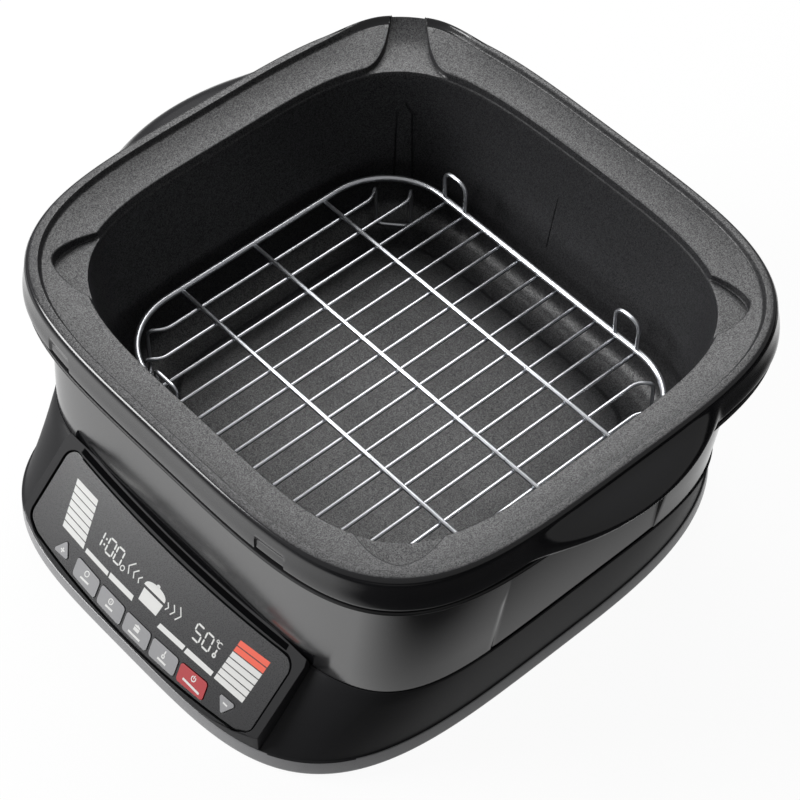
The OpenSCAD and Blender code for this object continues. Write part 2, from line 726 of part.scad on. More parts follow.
// mains socket in the back of the base
inlet_w = 30;
inlet_h = 22;
inlet_z = 16;
inlet_face = slope_k(inlet_z + inlet_h);
inlet_y = pot_y + pan_b + 1.9;
inlet_deep = inlet_face - inlet_y;
module mains_inlet() {
  color("#101012")
    difference() {
      translate([-inlet_w / 2, inlet_y, inlet_z])
        cube([inlet_w, inlet_deep, inlet_h]);
      translate([-inlet_w / 2 + 3, inlet_y + 3, inlet_z + 3])
        cube([inlet_w - 6, 40, inlet_h - 6]);
      for (p = [[-7, 8], [0, 13], [7, 8]])
        translate([p[0] - 1.05, inlet_y - 1, inlet_z + p[1] - 2.05])
          cube([2.1, 20, 4.1]);
    }
}
module inlet_pins() {
  color("#c9a24a")
    for (p = [[-7, 8], [0, 13], [7, 8]])
      translate([p[0] - 1, inlet_y - 0.5, inlet_z + p[1] - 2])
        cube([2, inlet_deep - 7, 4]);
}
// steel pan under the deck that carries the heating plate
module reflector_pan() {
  t = 1.2;
  color("#c4c7cb")
    translate([0, pot_y, 0])
      difference() {
        union() {
          translate([0, 0, deck_z - t - seat])
            round_plate(pan_a + 5, pan_b + 5, well_n, t);
          translate([0, 0, pan_z])
            round_plate(pan_a, pan_b, well_n, deck_z - pan_z - seat);
        }
        translate([0, 0, pan_z + t])
          round_plate(pan_a - t, pan_b - t, well_n, 60);
        for (x = [-1, 1])
          translate([x * heater_leg, heater_y, 0])
            cylinder(d = heater_pin + 3, h = 60);
        // notches beside the screw bosses
        for (p = bosses)
          translate([p[0], p[1] - pot_y, deck_z - 5])
            cylinder(d = boss_d + 1, h = 10);
      }
}
heater_end = 25;
heater_pin = 5;
heater_leg = heater_r * sin(heater_end);
heater_y = -heater_r * cos(heater_end);
posts = [[70, 62], [-70, 62], [70, -62], [-70, -62]];
module plate_posts() {
  color("#e4e0d6")
    for (p = posts)
      translate([p[0], pot_y + p[1], pan_z + 1.2 + seat])
        cylinder(d = 12, h = plate_z - pan_z - 1.2 - 2 * seat);
}
module heater_loop(d, angle) {
  rotate([0, 0, 90 - angle / 2])
    rotate_extrude(angle = angle, $fn = 96)
      translate([heater_r, 0])
        circle(d = d, $fn = 32);
}
module heating_plate() {
  color("#aeb1b5")
    translate([0, pot_y, plate_z])
      difference() {
        round_plate(plate_x, plate_y, 4, plate_t);
        heater_loop(heater_d + 2 * seat, 360);
      }
}
module heating_element() {
  color("#6e6f72")
    translate([0, pot_y, plate_z]) {
      heater_loop(heater_d, 360 - 2 * heater_end + 8);
      for (x = [-1, 1])
        translate([x * heater_leg, heater_y, pan_z - plate_z - 4])
          cylinder(d = heater_pin, h = plate_z - pan_z + 4);
    }
}
module temp_sensor() {
  color("#d8d8d8")
    translate([0, pot_y, plate_z - 6]) {
      cylinder(d = 14, h = 6 - seat);
      translate([-12, -3, 4.6])
        cube([24, 6, 1.3]);
    }
}
module thermal_fuse() {
  color("#d9cfae")
    translate([22, pot_y + 24, plate_z - 2.6])
      rotate([0, 90, 0])
        cylinder(d = 5, h = 22);
}

// rack: ring on rods, three support wires, corner legs and lifting loops
weld = 0.02;
ring_z = rods_z + rod_wire / 2 + ring_wire / 2 - weld;
supp_z = rods_z + rod_wire / 2 + support_wire / 2 - weld;
module in_pot() {
  translate([0, pot_y, 0])
    children();
}
module rack_ring() {
  sx = rack_x - rack_r;
  sy = rack_y - rack_r;
  color("#d6d8db")
    in_pot()
      translate([0, 0, ring_z]) {
        for (k = [[1, 1, 0], [-1, 1, 90], [-1, -1, 180], [1, -1, 270]])
          translate([k[0] * sx, k[1] * sy, 0])
            rotate([0, 0, k[2]])
              rotate_extrude(angle = 90, $fn = 96)
                translate([rack_r, 0])
                  circle(d = ring_wire, $fn = 24);
        for (s = [-1, 1]) {
          wire([-sx, s * rack_y, 0], [sx, s * rack_y, 0], ring_wire);
          wire([s * rack_x, -sy, 0], [s * rack_x, sy, 0], ring_wire);
        }
      }
}
module rack_supports() {
  e = rack_x - ring_wire / 2 + weld;
  color("#d6d8db")
    in_pot()
      for (k = [-1, 0, 1])
        wire([-e, k * support_pitch, supp_z], [e, k * support_pitch, supp_z], support_wire);
}
module rack_rods() {
  e = rack_y + 1;
  half = (rod_count - 1) / 2;
  color("#d6d8db")
    in_pot()
      for (i = [-half : half])
        wire([i * rod_pitch, -e, rods_z], [i * rod_pitch, e, rods_z], rod_wire);
}
// two bent rods at each side end in a U leg at every corner
out_1 = (rod_count + 1) / 2 * rod_pitch;
out_2 = (rod_count + 3) / 2 * rod_pitch;
leg_1 = [rack_x - rack_r + 0.93 * rack_r * cos(63), rack_y - rack_r + 0.93 * rack_r * sin(63)];
leg_2 = [rack_x - rack_r + 0.93 * rack_r * cos(33), rack_y - rack_r + 0.93 * rack_r * sin(33)];
function leg_pts(sx, sy) = let (
    f = floor_z + rod_wire / 2 + seat,
    u = (leg_2 - leg_1) / norm(leg_2 - leg_1),
    a = [sx * leg_1[0], sy * leg_1[1]],
    b = [sx * leg_2[0], sy * leg_2[1]],
    d = [sx * u[0], sy * u[1]])
  [
    [sx * out_1, sy * (leg_1[1] - 7), rods_z],
    [a[0], a[1], rods_z],
    [a[0], a[1], f + 5],
    [a[0] + 1.5 * d[0], a[1] + 1.5 * d[1], f + 1.5],
    [a[0] + 5 * d[0], a[1] + 5 * d[1], f],
    [b[0] - 5 * d[0], b[1] - 5 * d[1], f],
    [b[0] - 1.5 * d[0], b[1] - 1.5 * d[1], f + 1.5],
    [b[0], b[1], f + 5],
    [b[0], b[1], rods_z],
    [sx * out_2, sy * (leg_2[1] - 8), rods_z]
  ];
module leg_frame(s) {
  color("#d6d8db")
    in_pot() {
      bent_wire(leg_pts(s, 1), rod_wire);
      bent_wire(leg_pts(s, -1), rod_wire);
      for (p = [[out_1, leg_1[1] - 7], [out_2, leg_2[1] - 8]]) {
        wire([s * p[0], -p[1], rods_z], [s * p[0], p[1], rods_z], rod_wire);
        for (q = [-1, 1])
          translate([s * p[0], q * p[1], rods_z])
            sphere(d = rod_wire * bead, $fn = 24);
      }
    }
}
module rack_leg_right() { leg_frame(1); }
module rack_leg_left() { leg_frame(-1); }
// upright loops on the ring, over the first two and the last two rods
loop_wire = 2.4;
module rack_loops() {
  half = (rod_count - 1) / 2;
  z0 = ring_z + ring_wire / 2 - weld;
  w = rod_pitch / 2 + 0.6;
  r = 5;
  color("#d6d8db")
    in_pot()
      for (s = [-1, 1], e = [-1, 1])
        translate([s * (half - 0.5) * rod_pitch, e * rack_y, z0])
          bent_wire([
            [-w, 0, 0],
            [-w - 0.6, 0, loop_h - r],
            [-w + 1.2, 0, loop_h - 1.6],
            [-w + r, 0, loop_h],
            [w - r, 0, loop_h],
            [w - 1.2, 0, loop_h - 1.6],
            [w + 0.6, 0, loop_h - r],
            [w, 0, 0]
          ], loop_wire);
}

base_housing();
bottom_cover();
rubber_feet();
cover_screws();
console_housing();
panel_plate();
control_board();
key_switches();
display_block();
power_board();
mains_inlet();
inlet_pins();
outer_casing();
trim_ring();
heat_shield();
reflector_pan();
plate_posts();
heating_plate();
heating_element();
temp_sensor();
thermal_fuse();
pot();
rack_ring();
rack_supports();
rack_rods();
rack_leg_right();
rack_leg_left();
rack_loops();
key_plus();
key_minus();
key_1();
key_2();
key_3();
key_4();
key_power();
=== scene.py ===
"""Looks of a multicooker: fine shells, wires, keys and print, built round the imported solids."""

import json
import math

import bpy
from bpy.props import FloatProperty, FloatVectorProperty, IntProperty, PointerProperty
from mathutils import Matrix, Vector


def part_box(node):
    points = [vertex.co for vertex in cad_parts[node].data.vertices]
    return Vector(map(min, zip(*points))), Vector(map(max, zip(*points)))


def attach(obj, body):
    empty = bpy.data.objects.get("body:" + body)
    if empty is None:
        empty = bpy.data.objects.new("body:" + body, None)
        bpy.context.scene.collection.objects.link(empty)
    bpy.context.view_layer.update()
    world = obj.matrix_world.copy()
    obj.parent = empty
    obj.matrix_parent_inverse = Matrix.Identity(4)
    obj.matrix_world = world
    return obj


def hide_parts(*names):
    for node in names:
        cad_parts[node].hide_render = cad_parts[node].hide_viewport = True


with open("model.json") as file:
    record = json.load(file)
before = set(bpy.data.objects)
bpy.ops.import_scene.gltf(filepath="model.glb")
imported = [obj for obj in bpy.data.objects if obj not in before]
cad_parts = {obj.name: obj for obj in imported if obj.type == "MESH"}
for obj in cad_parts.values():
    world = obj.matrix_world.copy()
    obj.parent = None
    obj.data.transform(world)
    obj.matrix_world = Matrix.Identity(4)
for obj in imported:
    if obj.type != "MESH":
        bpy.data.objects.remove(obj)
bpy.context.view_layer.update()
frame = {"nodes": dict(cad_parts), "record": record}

bl_info = {
    "name": "Multicooker",
    "version": (1, 0, 0),
    "blender": (4, 5, 0),
    "location": "View3D > Sidebar > Cooker",
    "description": "Builds the visible pieces of a square multicooker round its solids",
    "category": "Object",
}

MM = 0.001

# places that the solids give, in mm: the pot's middle and the top of its ridge
POT_LOW, POT_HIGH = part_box("pot")
POT_Y = (POT_LOW[1] + POT_HIGH[1]) / 2 / MM
RIDGE_TOP = POT_HIGH[2] / MM

MERGE = 2e-6  # points closer than this, in m, become one
STEP, FINE_STEP = 0.75, 0.25  # degrees between the points of an outline
SHARP, EDGE = 32, 30  # degrees above which a shell's and a solid's edges are sharp


# Sizes and colours


def number(name, description, default, unit="NONE"):
    """A bare number, such as an exponent."""
    return FloatProperty(name=name, description=description, default=default, unit=unit)


def length(name, description, default):
    """A size in metres."""
    return number(name, description, default, "LENGTH")


class PotSizes(bpy.types.PropertyGroup):
    """Sizes of the removable pot."""

    rim_half_x: length("Rim half width", "Rim outline to the sides", 0.166)
    rim_half_y: length("Rim half depth", "Rim outline to the front", 0.157)
    squareness: number("Rim squareness", "Exponent of the rim outline", 4.0)
    floor_squareness: number("Floor squareness", "Exponent of the floor outline", 5.5)
    depth: length("Depth", "From the ledge to the floor", 0.1)
    wall: length("Wall", "Wall thickness", 0.0036)
    draft: number("Draft", "Draw-in of the wall for each unit of depth", 0.2)
    ridge: length("Ridge height", "Height of the ridge over the ledge", 0.008)
    ridge_width: length("Ridge width", "Flat top of the rim", 0.0056)
    ledge: length("Ledge width", "From the rim outline to the wall", 0.0239)
    skirt: length("Skirt depth", "Lower edge of the skirt below the ledge", 0.0115)
    pocket_depth: length("Pocket depth", "Step down in the corners", 0.003)
    lobe: length("Lobe reach", "How far the side grips stand out", 0.0165)
    lobe_length: length("Lobe length", "Length of a side grip", 0.112)


class BodySizes(bpy.types.PropertyGroup):
    """Sizes of casing, trim ring and base."""

    casing_inset: length("Casing inset", "Casing behind the rim outline", 0.01)
    front_inset: length("Front inset", "Further inset in front", 0.0078)
    casing_taper: length("Casing taper", "Draw-in to the foot in front", -0.0085)
    side_taper: length("Side taper", "Draw-in to the foot at the sides", 0.005)
    back_inset: length("Back inset", "Further inset behind", 0.005)
    back_taper: length("Back taper", "Draw-in to the foot behind", 0.011)
    front_squareness: number("Front squareness", "Casing outline in front", 5.3)
    back_squareness: number("Back squareness", "Casing outline behind", 4.1)
    grip_depth: length("Grip recess", "Depth of the side recess at the top", 0.0045)
    base_half_x: length("Base half width", "Base to the sides", 0.15)
    base_half_y: length("Base half length", "Base to the front", 0.175)
    base_height: length("Base height", "Top of the lip round the casing", 0.053)
    band_top: length("Band top", "Top of the lower band", 0.013)


class RackSizes(bpy.types.PropertyGroup):
    """Sizes of the wire rack."""

    half_x: length("Half width", "Ring to the sides", 0.1205)
    half_y: length("Half depth", "Ring to the front", 0.103)
    corner: length("Corner radius", "Bend of the ring", 0.042)
    ring_wire: length("Ring wire", "Diameter", 0.0036)
    support_wire: length("Support wire", "Diameter", 0.0026)
    rod_wire: length("Rod wire", "Diameter", 0.0022)
    loop_wire: length("Loop wire", "Diameter", 0.0024)
    pitch: length("Rod pitch", "Between two rods", 0.015)
    rods: IntProperty(name="Rods", description="Straight rods", default=11)
    support_pitch: length("Support pitch", "Between two supports", 0.051)
    loop: length("Loop height", "Lifting loops over the ring, half as high in front", 0.02)


def rgb(code):
    """sRGB hex code as three values from 0 to 1."""
    return [int(code[i : i + 2], 16) / 255 for i in (0, 2, 4)]


def shade(name, description, code):
    """A colour property whose default is an sRGB hex code."""
    return FloatVectorProperty(name=name, description=description, default=rgb(code), size=3, subtype="COLOR_GAMMA")


class Finishes(bpy.types.PropertyGroup):
    """Colours of the finishes."""

    coating: shade("Pot coating", "Ground colour of the speckled coating", "1d1d1f")
    skirt: shade("Skirt", "Smooth coating outside", "1d1d1f")
    casing: shade("Casing", "Gloss black plastic", "101012")
    base: shade("Base", "Satin black plastic", "18181a")
    # painted reflection: the lower band's grey stands in for the white floor mirrored in the upright black band
    band: shade("Band", "Lower band of the base", "7c7c7e")
    trim: shade("Trim", "Matte trim ring", "121214")
    panel: shade("Panel", "Gloss panel", "242426")
    key: shade("Key", "Grey key caps", "8a8a8c")
    power: shade("Power key", "Red key cap", "a8262c")
    ink: shade("Ink", "Printed marks", "d6d6d4")
    warm_ink: shade("Warm ink", "Printed marks of the warm programs", "e8593f")


# Points and outlines, in mm and degrees


def sine(t):
    return math.sin(math.radians(t))


def cosine(t):
    return math.cos(math.radians(t))


def smooth(x):
    """Smooth step from 0 to 1."""
    u = min(1.0, max(0.0, x))
    return u * u * (3 - 2 * u)


def mix(a, b, w):
    """Value between a, where w is 0, and b, where it is 1."""
    return a + (b - a) * w


def turn(a, b):
    """Angle between two directions in degrees."""
    return abs((a - b + 180) % 360 - 180)


def squircle(a, b, n, t):
    """Point at direction t of a rounded square with half sizes a and b."""
    c, s = cosine(t), sine(t)
    r = (abs(c / a) ** n + abs(s / b) ** n) ** (-1 / n)
    return r * c, r * s


def spread(a, b, step):
    """Values from a up to b, about a step apart, without b."""
    n = max(1, round((b - a) / step))
    return [a + (b - a) * i / n for i in range(n)]


def turns(dense):
    """Directions round an outline, closer together in the dense stretches."""
    marks = sorted((a % 360, b % 360) for a, b in dense)
    out = []
    for i, (a, b) in enumerate(marks):
        b = b if b > a else b + 360
        after = marks[i + 1][0] if i + 1 < len(marks) else marks[0][0] + 360
        out += spread(a, b, FINE_STEP) + spread(b, after, STEP)
    return [t % 360 for t in out]


AROUND = spread(0, 360, STEP)


def all_round(point, *where):
    """Points in all directions, from a function whose first argument is the direction."""
    return [point(t, *where) for t in AROUND]


# Meshes


def deselect():
    bpy.ops.object.select_all(action="DESELECT")


def pick(piece):
    """Makes a piece the active one and the only one selected."""
    deselect()
    bpy.context.view_layer.objects.active = piece
    piece.select_set(True)


def edit(piece, mode="VERT"):
    """Opens a piece for editing with all of it selected."""
    pick(piece)
    bpy.ops.object.mode_set(mode="EDIT")
    bpy.ops.mesh.select_mode(type=mode)
    bpy.ops.mesh.select_all(action="SELECT")


def done():
    bpy.ops.object.mode_set(mode="OBJECT")


def soften(piece, degrees=SHARP):
    """Smooth shading with sharp edges above an angle."""
    pick(piece)
    bpy.ops.object.shade_smooth_by_angle(angle=math.radians(degrees))


def tidy(piece):
    """Merges doubled points and turns the faces outwards."""
    edit(piece)
    bpy.ops.mesh.remove_doubles(threshold=MERGE)
    bpy.ops.mesh.dissolve_degenerate(threshold=MERGE / 2)
    bpy.ops.mesh.normals_make_consistent(inside=False)
    done()
    mesh = piece.data
    mesh.calc_loop_triangles()
    corners = ([mesh.vertices[i].co for i in triangle.vertices] for triangle in mesh.loop_triangles)
    if sum(a.dot(b.cross(c)) for a, b, c in corners) < 0:
        mesh.flip_normals()


def shell(name, rows, loop=False):
    """A mesh along closed rows of points in mm; loop also joins the last row to the first."""
    points = [list(row) + list(row[:1]) for row in rows]
    if loop:
        points.append(points[0])
    deselect()
    bpy.ops.mesh.primitive_grid_add(
        x_subdivisions=len(points[0]) - 1, y_subdivisions=len(points) - 1, calc_uvs=False
    )
    piece = bpy.context.object
    piece.name = piece.data.name = name
    piece.data.vertices.foreach_set("co", [c * MM for row in points for p in row for c in p])
    tidy(piece)
    return piece


# a wire's domed end, along and across, from its full width to its tip; it is half as long as the radius
DOME = [(0, 1), (0.38, 0.92), (0.7, 0.7), (0.92, 0.38), (1, 0)]


def tube_rows(path, r, sides=16, closed=False):
    """Rows of a round wire of radius r along a path, with domed ends."""
    path = [Vector(p) for p in path]
    rows, up, last = [], None, len(path) - 1
    for i, p in enumerate(path):
        before = path[i - 1] if i or closed else p
        after = path[(i + 1) % len(path)] if i < last or closed else p
        ahead = (after - before).normalized()
        if up is None:
            up = Vector((0, 0, 1)) if abs(ahead.z) < 0.9 else Vector((1, 0, 0))
        up = (up - ahead * up.dot(ahead)).normalized()
        side = ahead.cross(up)
        steps = DOME[:1]
        if not closed and i == 0:
            steps = [(-along, wide) for along, wide in reversed(DOME)]
        if not closed and i == last:
            steps = DOME
        for along, wide in steps:
            q = p + ahead * along * r * 0.5
            rows.append([
                q + (side * math.cos(a) + up * math.sin(a)) * r * wide
                for a in (2 * math.pi * k / sides for k in range(sides))
            ])
    return rows


def bend(points, r, steps=6):
    """A path with its corners rounded by radius r."""
    points = [Vector(p) for p in points]
    out = [points[0]]
    for a, b, c in zip(points, points[1:], points[2:]):
        u, v = (a - b), (c - b)
        cut = min(r, 0.45 * u.length, 0.45 * v.length)
        p, q = b + u.normalized() * cut, b + v.normalized() * cut
        for k in range(steps + 1):
            w = k / steps
            out.append(p * (1 - w) ** 2 + b * 2 * w * (1 - w) + q * w * w)
    return out + [points[-1]]


def join(name, pieces):
    """Joins pieces into one mesh with a name of its own."""
    deselect()
    for piece in pieces:
        piece.select_set(True)
    bpy.context.view_layer.objects.active = pieces[0]
    if len(pieces) > 1:
        bpy.ops.object.join()
    piece = bpy.context.object
    piece.name = piece.data.name = name
    return piece


def apply(piece, kind, **settings):
    """Adds a modifier and applies it."""
    pick(piece)
    modifier = piece.modifiers.new(kind.title(), kind)
    for key, value in settings.items():
        setattr(modifier, key, value)
    bpy.ops.object.modifier_apply(modifier=modifier.name)


def rounded_copy(name, width, segments):
    """A copy of a solid with its edges rounded by width in mm."""
    piece = bpy.data.objects.new(name + "_body", frame["nodes"][name].data.copy())
    bpy.context.scene.collection.objects.link(piece)
    piece.data.name = piece.name
    edit(piece)
    bpy.ops.mesh.remove_doubles(threshold=MERGE)
    bpy.ops.mesh.dissolve_limited(angle_limit=math.radians(0.5))
    done()
    apply(
        piece, "BEVEL", width=width * MM, segments=segments, limit_method="ANGLE",
        angle_limit=math.radians(EDGE), use_clamp_overlap=True, harden_normals=False,
    )
    soften(piece, EDGE)
    apply(piece, "WEIGHTED_NORMAL", keep_sharp=True)
    return piece


def dress(piece, body, slot, *replaces, finishes=()):
    """Gives a piece its body and its finishes, or else the slot's own finish, and hides the solids it stands for."""
    piece.data.materials.clear()
    for name in finishes or [slot]:
        piece.data.materials.append(FINISH[name])
    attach(piece, body)
    if replaces:
        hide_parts(*replaces)


# Materials

NOISE = 0.3, 0.7  # values that a noise texture mostly stays between
CLOUD = 60  # mm across the faint clouds in a plastic's colour
GRAIN, CELL = 0.55, 0.48  # mm across the pot coating's grain and its pale and dark cells


def linear(color):
    """sRGB hex code or values as linear RGBA."""
    if isinstance(color, str):
        color = rgb(color)
    return tuple(c / 12.92 if c <= 0.04045 else ((c + 0.055) / 1.055) ** 2.4 for c in color) + (1.0,)


def node(material, kind, feeds=None, **settings):
    """Adds a shader node and gives its outputs; feeds sets or links its inputs."""
    made = material.node_tree.nodes.new("ShaderNode" + kind)
    for key, value in settings.items():
        setattr(made, key, value)
    for key, value in (feeds or {}).items():
        if isinstance(value, bpy.types.NodeSocket):
            material.node_tree.links.new(value, made.inputs[key])
        else:
            made.inputs[key].default_value = value
    return made.outputs


def blank(name):
    """An empty material and the object coordinates in it."""
    material = bpy.data.materials.new(name)
    material.use_nodes = True
    material.node_tree.nodes.clear()
    return material, node(material, "TexCoord")["Object"]


def tint(color, gain):
    """A colour made lighter or darker, as linear RGBA."""
    return tuple(min(1.0, c * gain) for c in linear(color)[:3]) + (1.0,)


def noise(material, place, size, detail=2.0, rough=0.5):
    """Noise with grains of a size in mm."""
    feeds = {"Vector": place, "Scale": 1 / (size * MM), "Detail": detail, "Roughness": rough}
    return node(material, "TexNoise", feeds)[0]


def remap(material, value, low, high, to_low=0.0, to_high=1.0):
    """A value between low and high, carried over to another range."""
    feeds = {"Value": value, "From Min": low, "From Max": high, "To Min": to_low, "To Max": to_high}
    return node(material, "MapRange", feeds)[0]


def blend(material, share, a, b):
    """Colour between a and b."""
    return node(material, "Mix", {0: share, 6: a, 7: b}, data_type="RGBA")[2]


def bump(material, grain, height):
    """Normals of a grain with a height in mm."""
    feeds = {"Height": grain, "Strength": 1.0, "Distance": height * MM}
    return node(material, "Bump", feeds)[0]


def surface(material, feeds):
    """Ends a material with its shader."""
    shader = node(material, "BsdfPrincipled", feeds)
    node(material, "OutputMaterial", {"Surface": shader[0]})
    return material


def speckled_coating(color):
    """Sprayed non-stick coating on cast aluminium: satin grey with pale and dark grains under a millimetre."""
    material, place = blank("Speckled_nonstick_coating")
    grain = noise(material, place, GRAIN, rough=0.6)
    cells = node(material, "TexVoronoi", {"Vector": place, "Scale": 1 / (CELL * MM)})
    chance = node(material, "SeparateColor", {"Color": cells["Color"]})
    ground = blend(material, remap(material, grain, *NOISE), tint(color, 0.8), tint(color, 1.22))
    for cell, share, gain in ((chance[0], 0.9, 1.7), (chance[1], 0.8, 0.5)):
        ground = blend(material, remap(material, cell, 0.8, 0.95, 0.0, share), ground, tint(color, gain))
    return surface(material, {
        "Base Color": ground, "Roughness": remap(material, grain, *NOISE, 0.5, 0.4),
        "Specular IOR Level": remap(material, chance[2], 0.0, 1.0, 0.2), "Normal": bump(material, grain, 0.05),
    })


def plain_plastic(name, color, rough, grain, height, sheen=0.5, ior=1.5):
    """Moulded plastic: an even colour with a fine grain from the mould, its size and height in mm, in the gloss."""
    material, place = blank(name)
    fine = noise(material, place, grain)
    body = blend(material, noise(material, place, CLOUD, 1.0), tint(color, 0.92), tint(color, 1.08))
    gloss = remap(material, fine, *NOISE, max(0.0, rough - 0.03), rough + 0.03)
    return surface(material, {
        "Base Color": body, "Roughness": gloss, "Specular IOR Level": sheen, "IOR": ior,
        "Normal": bump(material, fine, height),
    })


def bare_metal(name, color, rough, grain=6.0, stretch=1.0):
    """Plated, cast or rolled metal: its gloss changes in grains, or in lines along X where stretch is small."""
    material, place = blank(name)
    along = node(material, "Mapping", {"Vector": place, "Scale": (stretch, 1.0, 1.0)})[0]
    cloud = noise(material, along, grain)
    body = blend(material, cloud, tint(color, 0.86), tint(color, 1.1))
    gloss = remap(material, cloud, *NOISE, rough - 0.05, rough + 0.05)
    return surface(material, {"Base Color": body, "Roughness": gloss, "Metallic": 1.0})


FINISH = {}


def make_finishes(colors):
    """All materials of the object, by the record's slot names and a few of their own."""
    FINISH.update({
        "coated_casting": speckled_coating(colors.coating),
        "smooth_coating": plain_plastic("Smooth_nonstick_coating", colors.skirt, 0.17, 0.5, 0.003, 0.55),
        "gloss_black_plastic": plain_plastic("Gloss_black_ABS", colors.casing, 0.13, 0.6, 0, 1.0, 1.7),
        "satin_black_plastic": plain_plastic("Satin_black_polypropylene", colors.base, 0.5, 0.45, 0.012, 0.2),
        # painted reflection: grey for the white floor mirrored in the base's upright lower band
        "band_painted_reflection": plain_plastic("Grey_band_painted_reflection", colors.band, 0.3, 0.45, 0.006),
        "trim_plastic": plain_plastic("Matte_black_trim", colors.trim, 0.45, 0.45, 0.012),
        "panel_gloss": plain_plastic("Gloss_panel_film", colors.panel, 0.28, 0.5, 0),
        "key_grey": plain_plastic("Grey_key_cap", colors.key, 0.42, 0.4, 0.008),
        "key_red": plain_plastic("Red_key_cap", colors.power, 0.4, 0.4, 0.008),
        "ink": plain_plastic("Light_panel_ink", colors.ink, 0.5, 0.4, 0.0),
        "warm_ink": plain_plastic("Warm_panel_ink", colors.warm_ink, 0.5, 0.4, 0.0),
        "rack_chrome": bare_metal("Bright_plated_wire", "d2d4d8", 0.32),
        "screw_steel": bare_metal("Zinc_plated_steel", "8f9296", 0.34, 2.0),
        "pin_brass": bare_metal("Plated_brass", "c9a24a", 0.28, 2.0),
        "sheet_steel": bare_metal("Rolled_sheet_steel", "b4b7bb", 0.36, 0.6, 0.04),
        "plate_aluminium": bare_metal("Cast_aluminium", "a9acb0", 0.5, 1.2),
        # painted shade: near-black matt finish of the strips that darken the gaps round the panel
        "painted_gap_shade": plain_plastic("Black_painted_shade", "020203", 0.8, 0.6, 0.01, 0.03),
        "foot_rubber": plain_plastic("Black_rubber", "242424", 0.75, 0.6, 0.02, 0.3),
        "board_green": plain_plastic("Green_solder_mask", "1f5a34", 0.35, 2.0, 0.01),
        "post_ceramic": plain_plastic("Steatite_ceramic", "e0dccf", 0.6, 0.5, 0.01),
    })


# Pot: lengths in mm, directions in degrees

RIM_X, RIM_Y = 164.5, 155.5  # half sizes of the solid's rim, which give its corners' direction
CORNER = math.degrees(math.atan2(RIM_Y, RIM_X))
POCKET_TURN = 1.8  # of the front right pocket
POCKETS = (CORNER, 180 + CORNER, 360 + POCKET_TURN - CORNER)
SPOUT = 180 - CORNER
SPOUT_REACH = 14  # half angle of the channel that leads to the pouring gap
MOUTH = 2.8  # half angle of the pouring gap at the rim
TABS, TAB, TAB_IN = (242.2, 297.8), 2.9, 1.0  # flats in the skirt, their half angle and depth
LIP, FLARE = 5.0, 4.6  # height of the pouring lip over the ledge, and how far it leans out
GAP_RIDGE, BACK_RIDGE = 0.9, 1.8  # width of the ridge at the gap, and how much narrower it is behind
LEDGE_LEFT, LEDGE_BACK, LEDGE_FRONT = 1.9, -1.3, 1.8  # added to the ledge's width
POCKET_AT, POCKET_OPEN, POCKET_HALF = 11.3, 12.4, 7.4  # inset of a pocket's tip, its reach and half angle
SKIRT_OUT, CORNER_OUT = 1.0, 1.4  # skirt outside the rim outline, and added to that at the corners
WALL_TOP, TURN_IN = 6.5, 10  # depth where the plain wall starts, and the bend between wall and floor
FLOOR_RISE = 1.6  # raised middle of the floor
COATING_EDGE = 1.75  # inset of the line where the speckled coating ends
ARCH, LEVEL_LINE = 136.95, 95.2  # directions of the marks on the wall


def near(d, end, stretch):
    """1 near a place and 0 from d = end on, with a soft change over a stretch before that."""
    return smooth((end - d) / stretch)


def spout_edge(d, ledge):
    """Inner ledge edge beside the pouring gap: d in degrees from its middle."""
    v = (d - MOUTH) / 7.2
    return ledge if v >= 1 else 0.0 if v <= 0 else ledge * (1 - (1 - v) ** 3.4)


def ledge_width(s, t, depth=0):
    """Ledge in direction t: a little narrower behind, wider on the left and in front, less so down the wall."""
    back, left = max(0, sine(t)) ** 2, max(0, -cosine(t)) ** 2
    front = LEDGE_FRONT * max(0, -sine(t)) ** 4 * max(0, 1 - depth / 30)
    return s.ledge / MM + (LEDGE_LEFT * left + LEDGE_BACK * back) * max(0, 1 - depth / 60) + front


def ledge_top(s):
    """Height of the ledge's inner edge, from which the pot's heights count."""
    return RIDGE_TOP - s.ridge / MM


def rim_point(s, inset, n, t):
    """Point behind the rim outline in direction t, from the pot's middle."""
    return squircle(s.rim_half_x / MM - inset, s.rim_half_y / MM - inset, n, t)


def rim_ring(s, inset, n, z):
    """Points all round the pot's middle."""
    return [(x, y + POT_Y, z) for x, y in (rim_point(s, inset, n, t) for t in AROUND)]


def wall_inset(s, t, depth):
    """Inner wall behind the rim outline."""
    return ledge_width(s, t, depth) + 0.5 + depth * s.draft


def wall_point(s, t, depth, proud):
    """Point on the inner wall in direction t, or proud of it."""
    w = (depth - WALL_TOP) / (s.depth / MM - TURN_IN - WALL_TOP)
    n = mix(s.squareness, s.floor_squareness, w)
    x, y = rim_point(s, wall_inset(s, t, depth) + proud, n, t)
    return x, y + POT_Y, ledge_top(s) - depth


